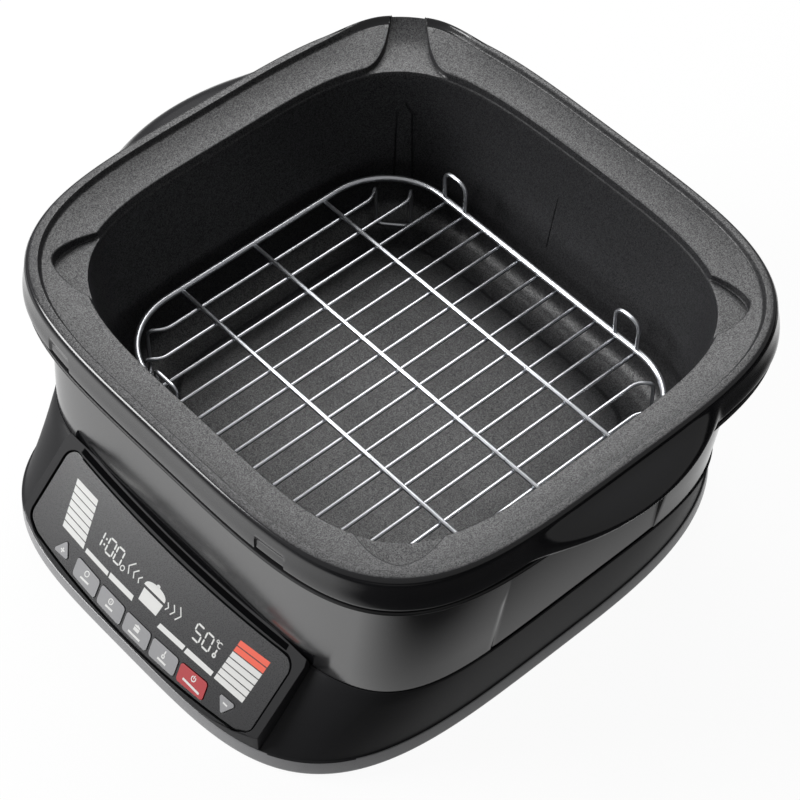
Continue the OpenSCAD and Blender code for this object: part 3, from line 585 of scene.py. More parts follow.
def pot_column(t, s):
    """The pot's section in direction t as rows of inset, height and squareness, and the inset of the raised floor."""
    n, f = s.squareness, s.floor_squareness
    ridge, deep, wall = s.ridge / MM, s.depth / MM, s.wall / MM
    drop, skirt = s.pocket_depth / MM, -s.skirt / MM
    ledge = ledge_width(s, t)
    d, c = turn(t, SPOUT), min(turn(t, k) for k in POCKETS)
    # shares from 0 to 1: flare of the pouring lip, full rim beside it, open gap
    pouring, full, gap = near(d, 15, 11), smooth((d - MOUTH) / 18), near(d, MOUTH + 0.2, 0.4)
    flare = FLARE * pouring
    rw = mix(GAP_RIDGE, s.ridge_width / MM - BACK_RIDGE * max(0, sine(t)) ** 2, full)
    step = mix(2.6, 1.7, full)
    edge = min(ledge, POCKET_AT + POCKET_OPEN * (c / POCKET_HALF) ** 1.6)
    if d < SPOUT_REACH:
        edge = spout_edge(d, ledge)
    out_by = SKIRT_OUT + CORNER_OUT * near(min(c, d), 22, 18)
    flat = TAB_IN * near(min(turn(t, k) for k in TABS), TAB, 0.2)
    y, half = rim_point(s, 0, n, t)[1], s.lobe_length / MM * 0.58
    lobe = 0 if abs(cosine(t)) < 0.5 else s.lobe / MM * max(0, 1 - (y / half) ** 2) ** 1.2
    under = (drop + 0.6) * max(near(c, 11.8, 6), near(d, 11.8, 3))

    def inner(depth):
        return wall_inset(s, t, depth)

    def top(o):
        """Height of ridge, step and sloped ledge at an inset."""
        ledge_z = 0.5 + 4.2 * (1 - min(1, max(0, (o - rw - step) / (ledge - rw - step)))) ** 1.5
        return mix(ridge, ledge_z, smooth((o - rw) / step))

    def out(o):
        """Inset with the flare of the pouring lip."""
        return o - flare * max(0, 1 - max(0, o) / 11)

    def mouth(z):
        """Height below the ridge, lower under the pouring lip."""
        return mix(z, 0.4 * z - 1.2, pouring)

    def floor_at(o):
        """Floor of a pocket, or of the channel that rises to the pouring lip."""
        return -drop + ((drop + LIP) * (max(0, 12 - o) / 12) ** 1.6 if d < SPOUT_REACH else 0)

    # underside, outer wall and the hollow behind the skirt
    rows = [
        (None, -deep - 4, 0.0), (None, -deep - 4, 0.5), (inner(deep) + 9, -deep - 4, f),
        (inner(deep) + 4, -deep - 4, f), (inner(deep) - 0.5, -deep - 2.6, f), (inner(deep) - 3.4, -deep + 1.5, f),
        (inner(deep - TURN_IN) - wall, -deep + TURN_IN, f),
        (inner(deep * 0.6) - wall, -deep * 0.6, mix(n, f, 0.55)),
        (inner(deep * 0.3) - wall, -deep * 0.3, mix(n, f, 0.25)),
        (inner(8) - wall, -9 - under, n), (ledge - 5, -5 - under, n),
        (out(4.5), mix(1.5 - under, -6, gap), n), (out(3.2), -6, n),
        (2.8, skirt + 3, n), (2.0, skirt, n), (0.4 - out_by - 0.4 * lobe + flat, mouth(skirt), n),
    ]
    # skirt from its lower edge up, with the share of the lobe at each height
    for e, share, z in (
        (0.95, 0.5, skirt + 0.15), (1.0, 0.68, skirt + 0.7), (1.0, 0.84, skirt + 1.7), (0.95, 0.95, -8),
        (0.85, 1.0, -6.2), (0.7, 0.97, -4.4), (0.55, 0.86, -2.4), (0.4, 0.66, -0.2), (0.3, 0.42, 1.9),
        (0.2, 0.16, 3.6), (0.14, 0.0, 4.8),
    ):
        rows.append((-e * out_by - share * lobe + (flat if z < -4 else 0), mouth(z), n))
    # rounded shoulder, ridge, step and sloped ledge with its rounded inner edge
    for o, z in ((0, 5.3), (0.2, 6.1), (0.55, 6.8), (1.05, 7.4), (1.8, ridge - 0.1)):
        rows.append((out(min(o, edge)), mix(z, min(z, LIP - 0.6 + 0.3 * o), gap), n))
    last = edge - 0.9
    over = [2.5] + [rw + k for k in (-1, -0.3, 0.1, 0.4, 0.7, 1.0, 1.3, 1.6, 2.0, 2.4, 2.8)]
    spots = [(min(o, last), 0) for o in over]
    spots += [(mix(min(over[-1], last), last, w), 0) for w in (0.2, 0.4, 0.6, 0.8)]
    spots += [(edge - k, fall) for k, fall in ((0.9, 0), (0.45, 0.06), (0.12, 0.25), (0, 0.55))]
    for o, fall in spots:
        o = max(o, min(1.8, edge))
        rows.append((out(o), mix(top(o) - fall, LIP, gap), n))
    # step down to the pocket, the channel of the spout or straight on to the wall
    deeper = smooth((ledge - edge) / 1.6)
    for ahead, w, straight in ((0.12, 0.8, -0.4), (0.3, 0.93, -1.0), (0.55, 1.0, -2.0)):
        o = edge + ahead
        fall = mix(straight, mix(top(edge) - 0.5, floor_at(o), w), deeper)
        rows.append((out(o), mix(fall, floor_at(o), gap), n))
    for w in (0.25, 0.5, 0.75, 0.93):
        o = mix(edge + 0.55, ledge + 0.95, w)
        rows.append((out(o), mix(mix(-2.0, -3.6, w), floor_at(o), deeper), n))
    rows += [(ledge + 1.2, mix(-3.9, -drop - 0.1, deeper), n), (ledge + 1.5, mix(-4.6, -drop - 0.55, deeper), n)]
    # inner wall, bend and the raised floor
    for k in range(9):
        z = mix(WALL_TOP, deep - TURN_IN, k / 8)
        rows.append((inner(z), -z, mix(n, f, k / 8)))
    for a in (15, 30, 45, 60, 75, 90):
        o = inner(deep - TURN_IN) + TURN_IN * (1 - cosine(a)) + 1.5 * sine(a)
        rows.append((o, -deep + TURN_IN - TURN_IN * sine(a), f))
    rim = inner(deep - TURN_IN) + TURN_IN + 1.5
    rows += [(rim + k, -deep + z, f) for k, z in ((9.5, 0), (10.3, 0.25), (12, 1.3), (13, FLOOR_RISE))]
    rows += [(None, -deep + FLOOR_RISE, share) for share in (0.8, 0.55, 0.3, 0.0)]
    return rows, rim + 13


def pot_rows(s):
    """Rows of points of the whole pot, from under the floor over the rim to the floor."""
    dense = [(k - 15, k + 15) for k in POCKETS]
    dense += [(SPOUT - 16, SPOUT - MOUTH - 0.4), (SPOUT + MOUTH + 0.4, SPOUT + 16)]
    around = turns(dense) + [SPOUT + k * (MOUTH + j * 0.1) for k in (-1, 1) for j in range(-3, 4)]
    around += [tab + k * (TAB - j * 0.1) for tab in TABS for k in (-1, 1) for j in range(3)]
    columns = []
    for t in sorted(set(round(t % 360, 4) for t in around)):
        rows, floor_in = pot_column(t, s)
        column = []
        for inset, z, n in rows:
            if inset is None:
                x, y = (c * n for c in rim_point(s, floor_in, s.floor_squareness, t))
            else:
                x, y = rim_point(s, inset, n, t)
            column.append((x, y + POT_Y, z + ledge_top(s)))
        columns.append(column)
    return [list(row) for row in zip(*columns)]


class COOKER_OT_pot(bpy.types.Operator):
    """Pot with ridge, sloped ledge, corner pockets, pouring lip and side grips"""

    bl_idname = "cooker.pot"
    bl_label = "Pot"

    def execute(self, context):
        s = context.scene.cooker_pot
        pot = shell("pot_casting", pot_rows(s))
        soften(pot, 38)
        dress(pot, "pot", "coated_casting", "pot", finishes=("coated_casting", "smooth_coating"))
        # the outside below the rim edge has the smooth coating
        for face in pot.data.polygons:
            x, y, z = (c / MM for c in face.center)
            t = math.degrees(math.atan2(y - POT_Y, x))
            edge = math.hypot(*rim_point(s, COATING_EDGE, s.squareness, t))
            outside = math.hypot(x, y - POT_Y) > edge and (face.normal.z < 0.93 or z < ledge_top(s) + 6)
            lip = turn(t, SPOUT) < MOUTH + 0.4 and face.normal.z > 0.3
            face.material_index = 1 if (outside or face.normal.z < -0.3) and not lip else 0
        self.marks(s)
        return {"FINISHED"}

    def marks(self, s):
        """Arch under the pouring lip and the level line on the back wall."""
        steps = [k / 6 for k in range(7)]
        # direction and depth of the arch's tip and of its two sides
        outline = [(136.8, 23.5)] + [(mix(135.25, 134.95, w), mix(30, 78, w)) for w in steps]
        outline += [(mix(139.45, 138.65, w), mix(78, 31.5, w)) for w in steps]
        inside = [(mix(ARCH, t, 0.8), max(24.6, z)) for t, z in outline]
        middle = [(ARCH, min(77, max(27, z))) for t, z in outline]
        arch = [
            [wall_point(s, t, z, proud) for t, z in line]
            for line, proud in ((middle, -0.8), (outline, -0.8), (outline, 0.2), (inside, 1.5), (middle, 1.5))
        ]
        level = tube_rows([wall_point(s, LEVEL_LINE, z, 0.05) for z in range(33, 66, 4)], 0.35, 8)
        for name, rows, angle in (("arch_mark", arch, 25), ("level_line", level, 60)):
            mark = shell(name, rows)
            soften(mark, angle)
            dress(mark, "pot", "coated_casting")


# Rack

SEAT = 0.02  # mm that two wires sink into each other where they are welded
LEG_TURNS = 63, 33  # directions of a corner's two legs from the middle of the ring's bend
LEG_IN = 0.93  # their distance from it as a share of the bend
LEG_BEND, LOOP_BEND = 5.5, 8.0  # mm, radius of the bends
ROD_OVER = 0.4  # mm that a rod stands past the ring's middle


class COOKER_OT_rack(bpy.types.Operator):
    """Wire rack: ring, rods, supports, corner legs and lifting loops"""

    bl_idname = "cooker.rack"
    bl_label = "Rack"

    def wire(self, name, solid, paths, d, closed=False):
        piece = join(name, [shell(name, tube_rows(p, d / MM / 2, closed=closed), loop=closed) for p in paths])
        soften(piece, 60)
        dress(piece, "rack", "rack_chrome", solid)

    def execute(self, context):
        s = context.scene.cooker_rack
        ax, ay, r = s.half_x / MM, s.half_y / MM, s.corner / MM
        rod, ring_d, support = s.rod_wire / MM, s.ring_wire / MM, s.support_wire / MM
        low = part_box("rack_rods")[0][2] / MM + rod / 2
        ring_z = low + rod / 2 + ring_d / 2 - SEAT
        support_z = low + rod / 2 + support / 2 - SEAT
        pitch, half = s.pitch / MM, (s.rods - 1) / 2

        outline = []
        for k, (sx, sy) in enumerate(((1, 1), (-1, 1), (-1, -1), (1, -1))):
            for t in range(k * 90, k * 90 + 91, 5):
                outline.append((sx * (ax - r) + r * cosine(t), sy * (ay - r) + r * sine(t) + POT_Y, ring_z))
        self.wire("ring_wire", "rack_ring", [outline], s.ring_wire, True)

        reach = ay + ROD_OVER
        rods = [[((k - half) * pitch, POT_Y + y, low) for y in (-reach, 0, reach)] for k in range(s.rods)]
        self.wire("rod_wires", "rack_rods", rods, s.rod_wire)

        reach, gap = ax - ring_d / 2, s.support_pitch / MM
        supports = [[(x, POT_Y + k * gap, support_z) for x in (-reach, 0, reach)] for k in (-1, 0, 1)]
        self.wire("support_wires", "rack_supports", supports, s.support_wire)

        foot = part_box("rack_leg_right")[0][2] / MM + rod / 2
        (x1, y1), (x2, y2) = (
            Vector((ax - r + LEG_IN * r * cosine(t), ay - r + LEG_IN * r * sine(t))) for t in LEG_TURNS
        )
        corner = [
            ((half + 1) * pitch, y1 - 7, low), (x1, y1, low), (x1, y1, foot),
            (x2, y2, foot), (x2, y2, low), ((half + 2) * pitch, y2 - 8, low),
        ]
        whole = corner + [(x, -y, z) for x, y, z in reversed(corner)]
        bent = bend(whole + whole[:2], LEG_BEND)
        start = (len(bend(whole[-1:] + whole[:2], LEG_BEND)) - 2) // 2
        for side, name in ((1, "right"), (-1, "left")):
            path = [(side * x, y + POT_Y, z) for x, y, z in bent[start:-1]]
            self.wire("leg_wires_" + name, "rack_leg_" + name, [path], s.rod_wire, True)

        loops = []
        w, base = pitch / 2 + 0.6, ring_z + ring_d / 2 - SEAT
        for sx, sy in ((-1, -1), (-1, 1), (1, -1), (1, 1)):
            x, y = sx * (half - 0.5) * pitch, sy * ay + POT_Y
            top = base + s.loop / MM * (1 if sy > 0 else 0.5)
            ends = ((-w, base), (-w - 0.8, top), (w + 0.8, top), (w, base))
            loops.append(bend([(x + k, y, z) for k, z in ends], LOOP_BEND, 12))
        self.wire("loop_wires", "rack_loops", loops, s.loop_wire)
        return {"FINISHED"}


# Casing, trim ring and base

CASING_RISE = 8  # mm from the solid's top to the casing's
TRIM_BELOW = 23.2  # mm from the trim's top up to the pot's ridge
ROOM = 0.15 * MM  # round the console and the inlet in the base
FOOT_FRONT, FOOT_BACK = 3.85, 3.1  # squareness of the base's foot


def case_point(s, w, inset, t):
    """Casing outline in direction t: w from foot 0 to top 1."""
    p = bpy.context.scene.cooker_pot
    a, b = p.rim_half_x - s.casing_inset - s.side_taper * (1 - w), p.rim_half_y - s.casing_inset
    if sine(t) < 0:
        b, n = b - s.front_inset - s.casing_taper * (1 - w), s.front_squareness
    else:
        b, n = b - s.back_inset - s.back_taper * (1 - w), s.back_squareness
    x, y = squircle(a / MM - inset, b / MM - inset, n, t)
    return x, y + POT_Y


def grip_edges(w):
    """Directions of the side recess's front and back edges at height w, measured on the right side."""
    return mix(-25.5, -21.5, w), mix(16.0, 19.5, w)


class COOKER_OT_casing(bpy.types.Operator):
    """Gloss casing with a recess under each side grip, and the trim ring on it"""

    bl_idname = "cooker.casing"
    bl_label = "Casing and trim"

    def execute(self, context):
        low, high = (corner[2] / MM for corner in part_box("outer_casing"))
        high += CASING_RISE
        self.casing(context.scene.cooker_body, low, high)
        self.trim(context.scene.cooker_pot, high + 0.05, RIDGE_TOP - TRIM_BELOW)
        return {"FINISHED"}

    def ring(self, s, w, inset, z):
        """One ring of the casing: right recess, back, left recess and front, with a rounded edge after each."""
        front, back = grip_edges(w)
        e = 0.2  # half width of such an edge in degrees
        marks = []
        for a, b, inside, count in (
            (front, back, 1, 48), (back, 180 - back, 0, 160),
            (180 - back, 180 - front, 1, 48), (180 - front, 360 + front, 0, 150),
        ):
            marks += [(mix(a + e, b - e, k / count), inside) for k in range(count)]
            marks += [(mix(b - e, b + e, k / 6), mix(inside, 1 - inside, smooth(k / 6))) for k in range(6)]
        depth = mix(0.3, s.grip_depth / MM, w)
        return [case_point(s, w, inset + share * depth, t) + (z,) for t, share in marks]

    def casing(self, s, low, high):
        """Gloss shell: rounded foot, outside, and back down inside."""
        plain = 5  # height of the foot, where the taper starts
        foot, span = low + plain, high - low - plain
        edge = ((0.8, 0), (0.5, 0.15), (0.25, 0.4), (0.1, 0.8), (0.02, 1.4), (0, 3))
        profile = [(0, inset, low + up) for inset, up in edge]
        profile += [(k / 6, 0, foot + span * k / 6) for k in range(7)]
        profile += [(1, 3, high), (0.5, 3, foot + span / 2), (0, 3, foot), (0, 5.5, low)]
        casing = shell("casing_shell", [self.ring(s, *row) for row in profile], loop=True)
        soften(casing)
        dress(casing, "base", "gloss_black_plastic", "outer_casing")

    def trim(self, p, low, high):
        """Matte ring between the casing and the pot's skirt."""
        n = p.squareness + 0.1
        profile = [
            (17.4, low, 4.4), (1.4, low, n), (0.8, low + 0.15, n), (0.45, low + 0.7, n), (0.4, low + 1.4, n),
            (-0.8, high - 1.4, n), (-0.65, high - 0.6, n), (-0.2, high - 0.12, n), (0.4, high, n), (3.4, high, n),
            (4.0, high - 0.3, n), (6.4, low + 1.6, n), (20.4, low + 1.6, 4.3), (20.4, low, 4.3),
        ]
        trim = shell("trim_band", [rim_ring(p, inset, k, z) for inset, z, k in profile], loop=True)
        soften(trim)
        dress(trim, "base", "satin_black_plastic", "trim_ring", finishes=["trim_plastic"])


class COOKER_OT_base(bpy.types.Operator):
    """Base housing: lower band, skirt up to the lip round the casing"""

    bl_idname = "cooker.base"
    bl_label = "Base housing"

    def execute(self, context):
        s, p = context.scene.cooker_body, context.scene.cooker_pot
        a, f = s.base_half_x / MM, s.base_half_y / MM
        band, top = s.band_top / MM, s.base_height / MM
        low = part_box("base_housing")[0][2] / MM
        wall = 3.0
        under = 6  # depth of the deck round the pot below the lip

        def foot(t, inset, z):
            return squircle(a - inset, f - inset, FOOT_FRONT if sine(t) < 0 else FOOT_BACK, t) + (z,)

        def skirt(t, w, inset, z):
            """Between the foot, w 0, and the casing, w 1."""
            one, two = foot(t, 1.5 + inset, z), case_point(s, 0, inset - 0.7, t)
            return mix(one[0], two[0], w), mix(one[1], two[1], w), z

        def share(z):
            return (z - band) / (top - band)

        rows = [all_round(foot, i, z) for i, z in (
            (2.4, low), (1.2, low + 0.25), (0.4, low + 1), (0.05, low + 2), (0, low + 3), (0.3, band - 3),
            (0.45, band - 0.9), (0.55, band - 0.3), (0.9, band),
        )]
        heights = (band + 0.25, band + 0.8, 20, 28, 36, 44, top - 1.2)
        rows += [all_round(skirt, share(z), 0, z) for z in heights]
        rows += [all_round(skirt, 1, i, z) for i, z in ((0.05, top - 0.6), (0.2, top - 0.2), (0.45, top))]
        rows += [[case_point(s, 0, -0.05, t) + (z,) for t in AROUND] for z in (top, top - under / 2)]
        # the hole round the pot: its inner wall 90 mm down, and 5.1 mm more
        hole = p.ledge / MM + 0.5 + 90 * p.draft - 5.1
        rows += [rim_ring(p, hole, 5.5, z) for z in (top - under / 2, top - under)]
        rows.append(all_round(skirt, share(top - under), 1.4 * wall, top - under))
        rows += [all_round(skirt, 0, 1.4 * wall, band + 1), all_round(foot, 2 + wall, low)]
        base = shell("base_shell", rows, loop=True)
        self.cut(base)
        soften(base)
        dress(
            base, "base", "satin_black_plastic", "base_housing", finishes=("satin_black_plastic", "band_painted_reflection")
        )
        # the upright faces of the lower band get the grey of the painted reflection
        for face in base.data.polygons:
            face.material_index = 1 if face.center.z < band * MM and abs(face.normal.z) < 0.8 else 0
        return {"FINISHED"}

    def cut(self, base):
        """Cuts the openings for the console, open in front and above, and for the mains inlet, open behind."""
        for name, low_by, high_by in (
            ("console_housing", (0, -0.01, 0), (0, 0, 0.03)), ("mains_inlet", (0, 0.004, 0), (0, 0.02, 0)),
        ):
            low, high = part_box(name)
            low = [c - ROOM + k for c, k in zip(low, low_by)]
            high = [c + ROOM + k for c, k in zip(high, high_by)]
            deselect()
            bpy.ops.mesh.primitive_cube_add(size=1, location=[(a + b) / 2 for a, b in zip(low, high)])
            cutter = bpy.context.object
            cutter.scale = [b - a for a, b in zip(low, high)]
            bpy.ops.object.transform_apply(location=True, rotation=True, scale=True)
            apply(base, "BOOLEAN", operation="DIFFERENCE", object=cutter, solver="EXACT")
            bpy.data.objects.remove(cutter)


# Console, keys and print

SLOPE = math.sqrt(0.5)
PANEL_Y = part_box("base_housing")[0][1] / MM
PANEL_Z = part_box("console_housing")[0][2] / MM
PANEL_IN = 1.0  # depth of the panel's surface in the console's slope
INK, KEY_INK = (0.0, 0.05), (0.6, 0.64)  # heights of the print on the panel and on the keys


def panel_point(x, v, h):
    """Point on the sloped panel: x to the right, v up the slope, h off its surface."""
    h -= PANEL_IN
    return x, PANEL_Y + v * SLOPE - h * SLOPE, PANEL_Z + v * SLOPE + h * SLOPE


def panel_plate(name, outlines, low, high):
    """Thin plates on the panel, each from an outline of x and v."""
    pieces = []
    rise = (high - low) * SLOPE * MM
    for outline in outlines:
        deselect()
        bpy.ops.mesh.primitive_circle_add(vertices=len(outline), fill_type="NGON")
        plate = bpy.context.object
        plate.data.vertices.foreach_set("co", [c * MM for x, v in outline for c in panel_point(x, v, low)])
        edit(plate, "FACE")
        bpy.ops.mesh.extrude_region_move(TRANSFORM_OT_translate={"value": (0, -rise, rise)})
        bpy.ops.mesh.select_all(action="SELECT")
        bpy.ops.mesh.normals_make_consistent(inside=False)
        done()
        pieces.append(plate)
    return join(name, pieces)


def block(x0, v0, x1, v1, r=0.0):
    """A rectangle, with rounded corners where r is given."""
    if not r:
        return [(x0, v0), (x1, v0), (x1, v1), (x0, v1)]
    out = []
    for cx, cv, a in ((x1 - r, v0 + r, -90), (x1 - r, v1 - r, 0), (x0 + r, v1 - r, 90), (x0 + r, v0 + r, 180)):
        out += [(cx + r * cosine(t), cv + r * sine(t)) for t in (a + 90 * k / 4 for k in range(5))]
    return out


def stroke(points, width):
    """Outline of an open line of a width."""
    left, right = [], []
    for i, (x, v) in enumerate(points):
        a, b = points[max(0, i - 1)], points[min(len(points) - 1, i + 1)]
        dx, dv = b[0] - a[0], b[1] - a[1]
        k = width / 2 / math.hypot(dx, dv)
        left.append((x - dv * k, v + dx * k))
        right.append((x + dv * k, v - dx * k))
    return right + left[::-1]


def ring(x, v, r, width, start=0, end=358):
    """A ring or part of one."""
    around = [start + (end - start) * k / 24 for k in range(25)]
    return stroke([(x + r * cosine(t), v + r * sine(t)) for t in around], width)


def bars(quad, count, fill=0.85):
    """Bars that divide a leaning box, from its top; the corners run from top left clockwise."""
    a, b, c, d = (Vector(corner) for corner in quad)
    out = []
    for k in range(count):
        w0, w1 = k / count, (k + fill) / count
        out.append([mix(a, d, w1), mix(b, c, w1), mix(b, c, w0), mix(a, d, w0)])
    return out


def pot_sign(x, v, k):
    """Sign of a pot with a domed lid: x of its middle, v of its foot, k its size."""
    dome = [(8.4 * math.cos(t), 8.4 + 4.2 * math.sin(t) ** 0.8) for t in (math.pi * i / 16 for i in range(17))]
    shapes = [
        [(-6.6, 0), (8.0, 0), (8.4, 7), (-7.2, 7)], dome,
        [(1.3 * math.cos(t), 12.9 + 0.9 * math.sin(t)) for t in (math.pi * i / 6 for i in range(12))],
    ]
    return [[(x + a * k, v + b * k) for a, b in shape] for shape in shapes]


SEGMENTS = {"0": "abcdef", "1": "bc", "5": "acdfg"}
DIGIT_HIGH, DIGIT_LINE, DIGIT_LEAN, DIGIT_GAP = 8.2, 1.0, 0.11, 0.22


def digit(code, x, v, w=5.2):
    """Seven-segment digit with its lower left corner at x and v."""
    h, t, mid = DIGIT_HIGH, DIGIT_LINE / 2, DIGIT_HIGH / 2
    lines = {
        "a": (0, h, w, h), "g": (0, mid, w, mid), "d": (0, 0, w, 0), "f": (0, mid, 0, h),
        "b": (w, mid, w, h), "e": (0, 0, 0, mid), "c": (w, 0, w, mid),
    }
    out = []
    for ax, av, bx, bv in (lines[name] for name in SEGMENTS[code]):
        n = math.hypot(bx - ax, bv - av)
        ux, uv = (bx - ax) / n, (bv - av) / n
        a0, a1 = DIGIT_GAP, n - DIGIT_GAP
        points = [(a0, 0), (a0 + t, -t), (a1 - t, -t), (a1, 0), (a1 - t, t), (a0 + t, t)]
        flat = [(ax + ux * k - uv * j, av + uv * k + ux * j) for k, j in points]
        out.append([(x + a - DIGIT_LEAN * b, v + b) for a, b in flat])
    return out


class COOKER_OT_console(bpy.types.Operator):
    """Console housing with rounded edges and the gloss panel set into it"""

    bl_idname = "cooker.console"
    bl_label = "Console"

    def execute(self, context):
        dress(rounded_copy("console_housing", 0.6, 3), "base", "satin_black_plastic", "console_housing")
        dress(rounded_copy("panel_plate", 0.25, 2), "base", "panel_gloss", "panel_plate")
        # painted shade: near-black strips laid in the gap over and beside the panel, and on the console's strip above
        # it, where the gap lies in shadow
        half = 92
        path = [(x, 54.0 + 5.2 * (x / half) ** 2) for x in range(-82, 83, 4)]
        path += [(84.4 + 8 * sine(a), 50.4 + 8 * cosine(a)) for a in range(15, 91, 15)]
        path += [(92.4, v) for v in (44, 36, 28, 20, 14)]
        over = [(x, 58.0 + 4.2 * (x / half) ** 2) for x in range(-84, 85, 4)]
        painted_gap_shade = join("panel_shade_strips", [
            panel_plate("panel_gap", [stroke(path, 2.0)], -0.3, 0.02),
            panel_plate("slot_shade_strip", [stroke(over, 3.4)], 0.5, 1.04),
        ])
        dress(painted_gap_shade, "base", "foot_rubber", finishes=["painted_gap_shade"])
        return {"FINISHED"}


class COOKER_OT_keys(bpy.types.Operator):
    """Key caps with rounded edges"""

    bl_idname = "cooker.keys"
    bl_label = "Keys"

    def execute(self, context):
        for name in ("key_1", "key_2", "key_3", "key_4", "key_plus", "key_minus", "key_power"):
            slot = "key_red" if name == "key_power" else "key_grey"
            dress(rounded_copy(name, 0.3, 3), name, slot, name)
        return {"FINISHED"}


class COOKER_OT_print(bpy.types.Operator):
    """Printed bars, display digits and signs on panel and keys"""

    bl_idname = "cooker.print"
    bl_label = "Print"

    def execute(self, context):
        light, warm = [], []
        # program lists at both ends of the panel, as bare bars
        light += bars([(-78.2, 47.6), (-59.6, 46.6), (-51.2, 20.2), (-70.2, 21.4)], 7)
        right = bars([(58.7, 46.3), (80.0, 48.9), (79.0, 21.8), (57.4, 20.6)], 7)
        warm += right[:2]
        light += right[2:]
        # names of the values, as bare bars
        light += [
            [(-49.4, 20.3), (-29.8, 19.5), (-30.2, 21.9), (-49.8, 22.8)],
            [(-28.6, 19.4), (-8.6, 19.2), (-9.3, 22.2), (-29.0, 22.4)],
            [(12.7, 18.9), (33.0, 19.7), (33.4, 22.6), (13.3, 21.8)],
            [(34.4, 19.5), (55.4, 20.7), (55.5, 23.5), (34.8, 22.6)],
        ]
        # time and temperature
        light += digit("1", -48.4, 28.7, 4.6) + digit("0", -39.3, 28.5) + digit("0", -32.2, 28.2)
        light += [block(-42.3, 30.6, -41.2, 31.7), block(-42.6, 33.8, -41.5, 34.9)]
        light += [ring(-24.3, 28.8, 1.35, 0.6)] + digit("5", 33.4, 28.6) + digit("0", 41.0, 28.8)
        light += [ring(48.0, 37.2, 0.7, 0.45), ring(50.4, 36.2, 1.5, 0.55, 50, 310)]
        light += [ring(50.3, 30.0, 0.9, 0.9), block(49.8, 30.6, 50.8, 33.4, 0.4)]
        # waves on both sides of the pot sign
        for side in (-1, 1):
            for x, v, h in ((12.4, 31.1, 2.1), (16.9, 31.8, 2.8), (21.6, 32.5, 3.7)):
                wave = [(side * (x - 0.85 * h), v + h), (side * x, v), (side * (x - 0.6 * h), v - h)]
                light.append(stroke(wave, 0.75))
        light += pot_sign(0.6, 22.8, 1.0)
        dress(panel_plate("panel_marks", light, *INK), "base", "key_grey", finishes=["ink"])
        dress(panel_plate("panel_warm_marks", warm, *INK), "base", "key_red", finishes=["warm_ink"])
        # signs on the keys, with a bare bar under most
        signs = {
            "key_plus": [block(-63.3, 11.9, -60.3, 12.7), block(-62.2, 10.9, -61.4, 13.7)],
            "key_minus": [block(70.0, 15.0, 73.2, 15.9)],
            "key_1": [ring(-40.6, 12.4, 1.5, 0.6), block(-43.4, 8.1, -36.4, 9.2)],
            "key_2": [
                ring(-18.8, 10.9, 1.5, 0.6), stroke([(-18.8, 11.6), (-18.8, 10.6), (-18.1, 10.4)], 0.4),
                block(-20.8, 6.9, -15.0, 8.0),
            ],
            "key_3": pot_sign(3.4, 8.8, 0.27) + [block(-0.6, 5.9, 8.8, 7.0)],
            "key_4": [
                ring(25.8, 9.9, 0.85, 0.8), block(25.4, 10.5, 26.2, 13.2, 0.3),
                block(23.2, 6.7, 29.8, 7.8),
            ],
            "key_power": [
                ring(48.2, 13.1, 1.4, 0.6, 125, 415), block(47.9, 13.0, 48.5, 15.0),
                block(42.6, 8.5, 55.6, 9.7),
            ],
        }
        for key, outlines in signs.items():
            dress(panel_plate(key + "_sign", outlines, *KEY_INK), key, "key_grey", finishes=["ink"])
        return {"FINISHED"}


class COOKER_OT_hidden_parts(bpy.types.Operator):
    """Finishes of the solids that stay as they are: cover, feet, boards, inlet and heater"""

    bl_idname = "cooker.hidden_parts"
    bl_label = "Solids"

    def execute(self, context):
        for row in frame["record"]["subparts"]:
            solid = frame["nodes"][row["node"]]
            solid.data.materials.clear()
            solid.data.materials.append(FINISH[row["material_slot"]])
        return {"FINISHED"}


# Stage

WHITE = 1, 1, 1, 1
FLOOR_GREY = 0.85, 0.85, 0.85, 1
FLOOR_SHOWN = 0.95  # share of plain white in the floor that the camera sees, the rest takes the shadow
PAINTED_LIGHT_ACROSS = 0.12, 0.215, 1.0, 0.03  # from and to X in m: painted light of the floor in reflections, bright towards the left, dark towards the right where shade falls
PAINTED_LIGHT_AWAY = 0.36, 0.6, 1.0, 0.12  # from and to m from the middle: a second factor of that painted light, dimmer further out
AMBIENT, AMBIENT_GLOSS = 0.14, 0.35
LAMP_AIM = Vector((0, 17 * MM, 90 * MM))
# name, place from the aim in m, size in m and power in W
LAMPS = (("back_softbox", (-0.85, 0.75, 1.15), 1.2, 21), ("key_softbox", (-1.1, -1.15, 0.92), 0.8, 34))

# the photograph's camera: degrees round and up, mm, m and pixels of its picture
CAMERA_TURN, CAMERA_RISE = 48.37, 50.31
CAMERA_AIM, CAMERA_AWAY = (54.46, -37.3, 148.05), 1.24024
PHOTO_PX, FOCAL_PX, SHIFT_PX = 800, 2523.43, 10.25
SENSOR = 36  # mm


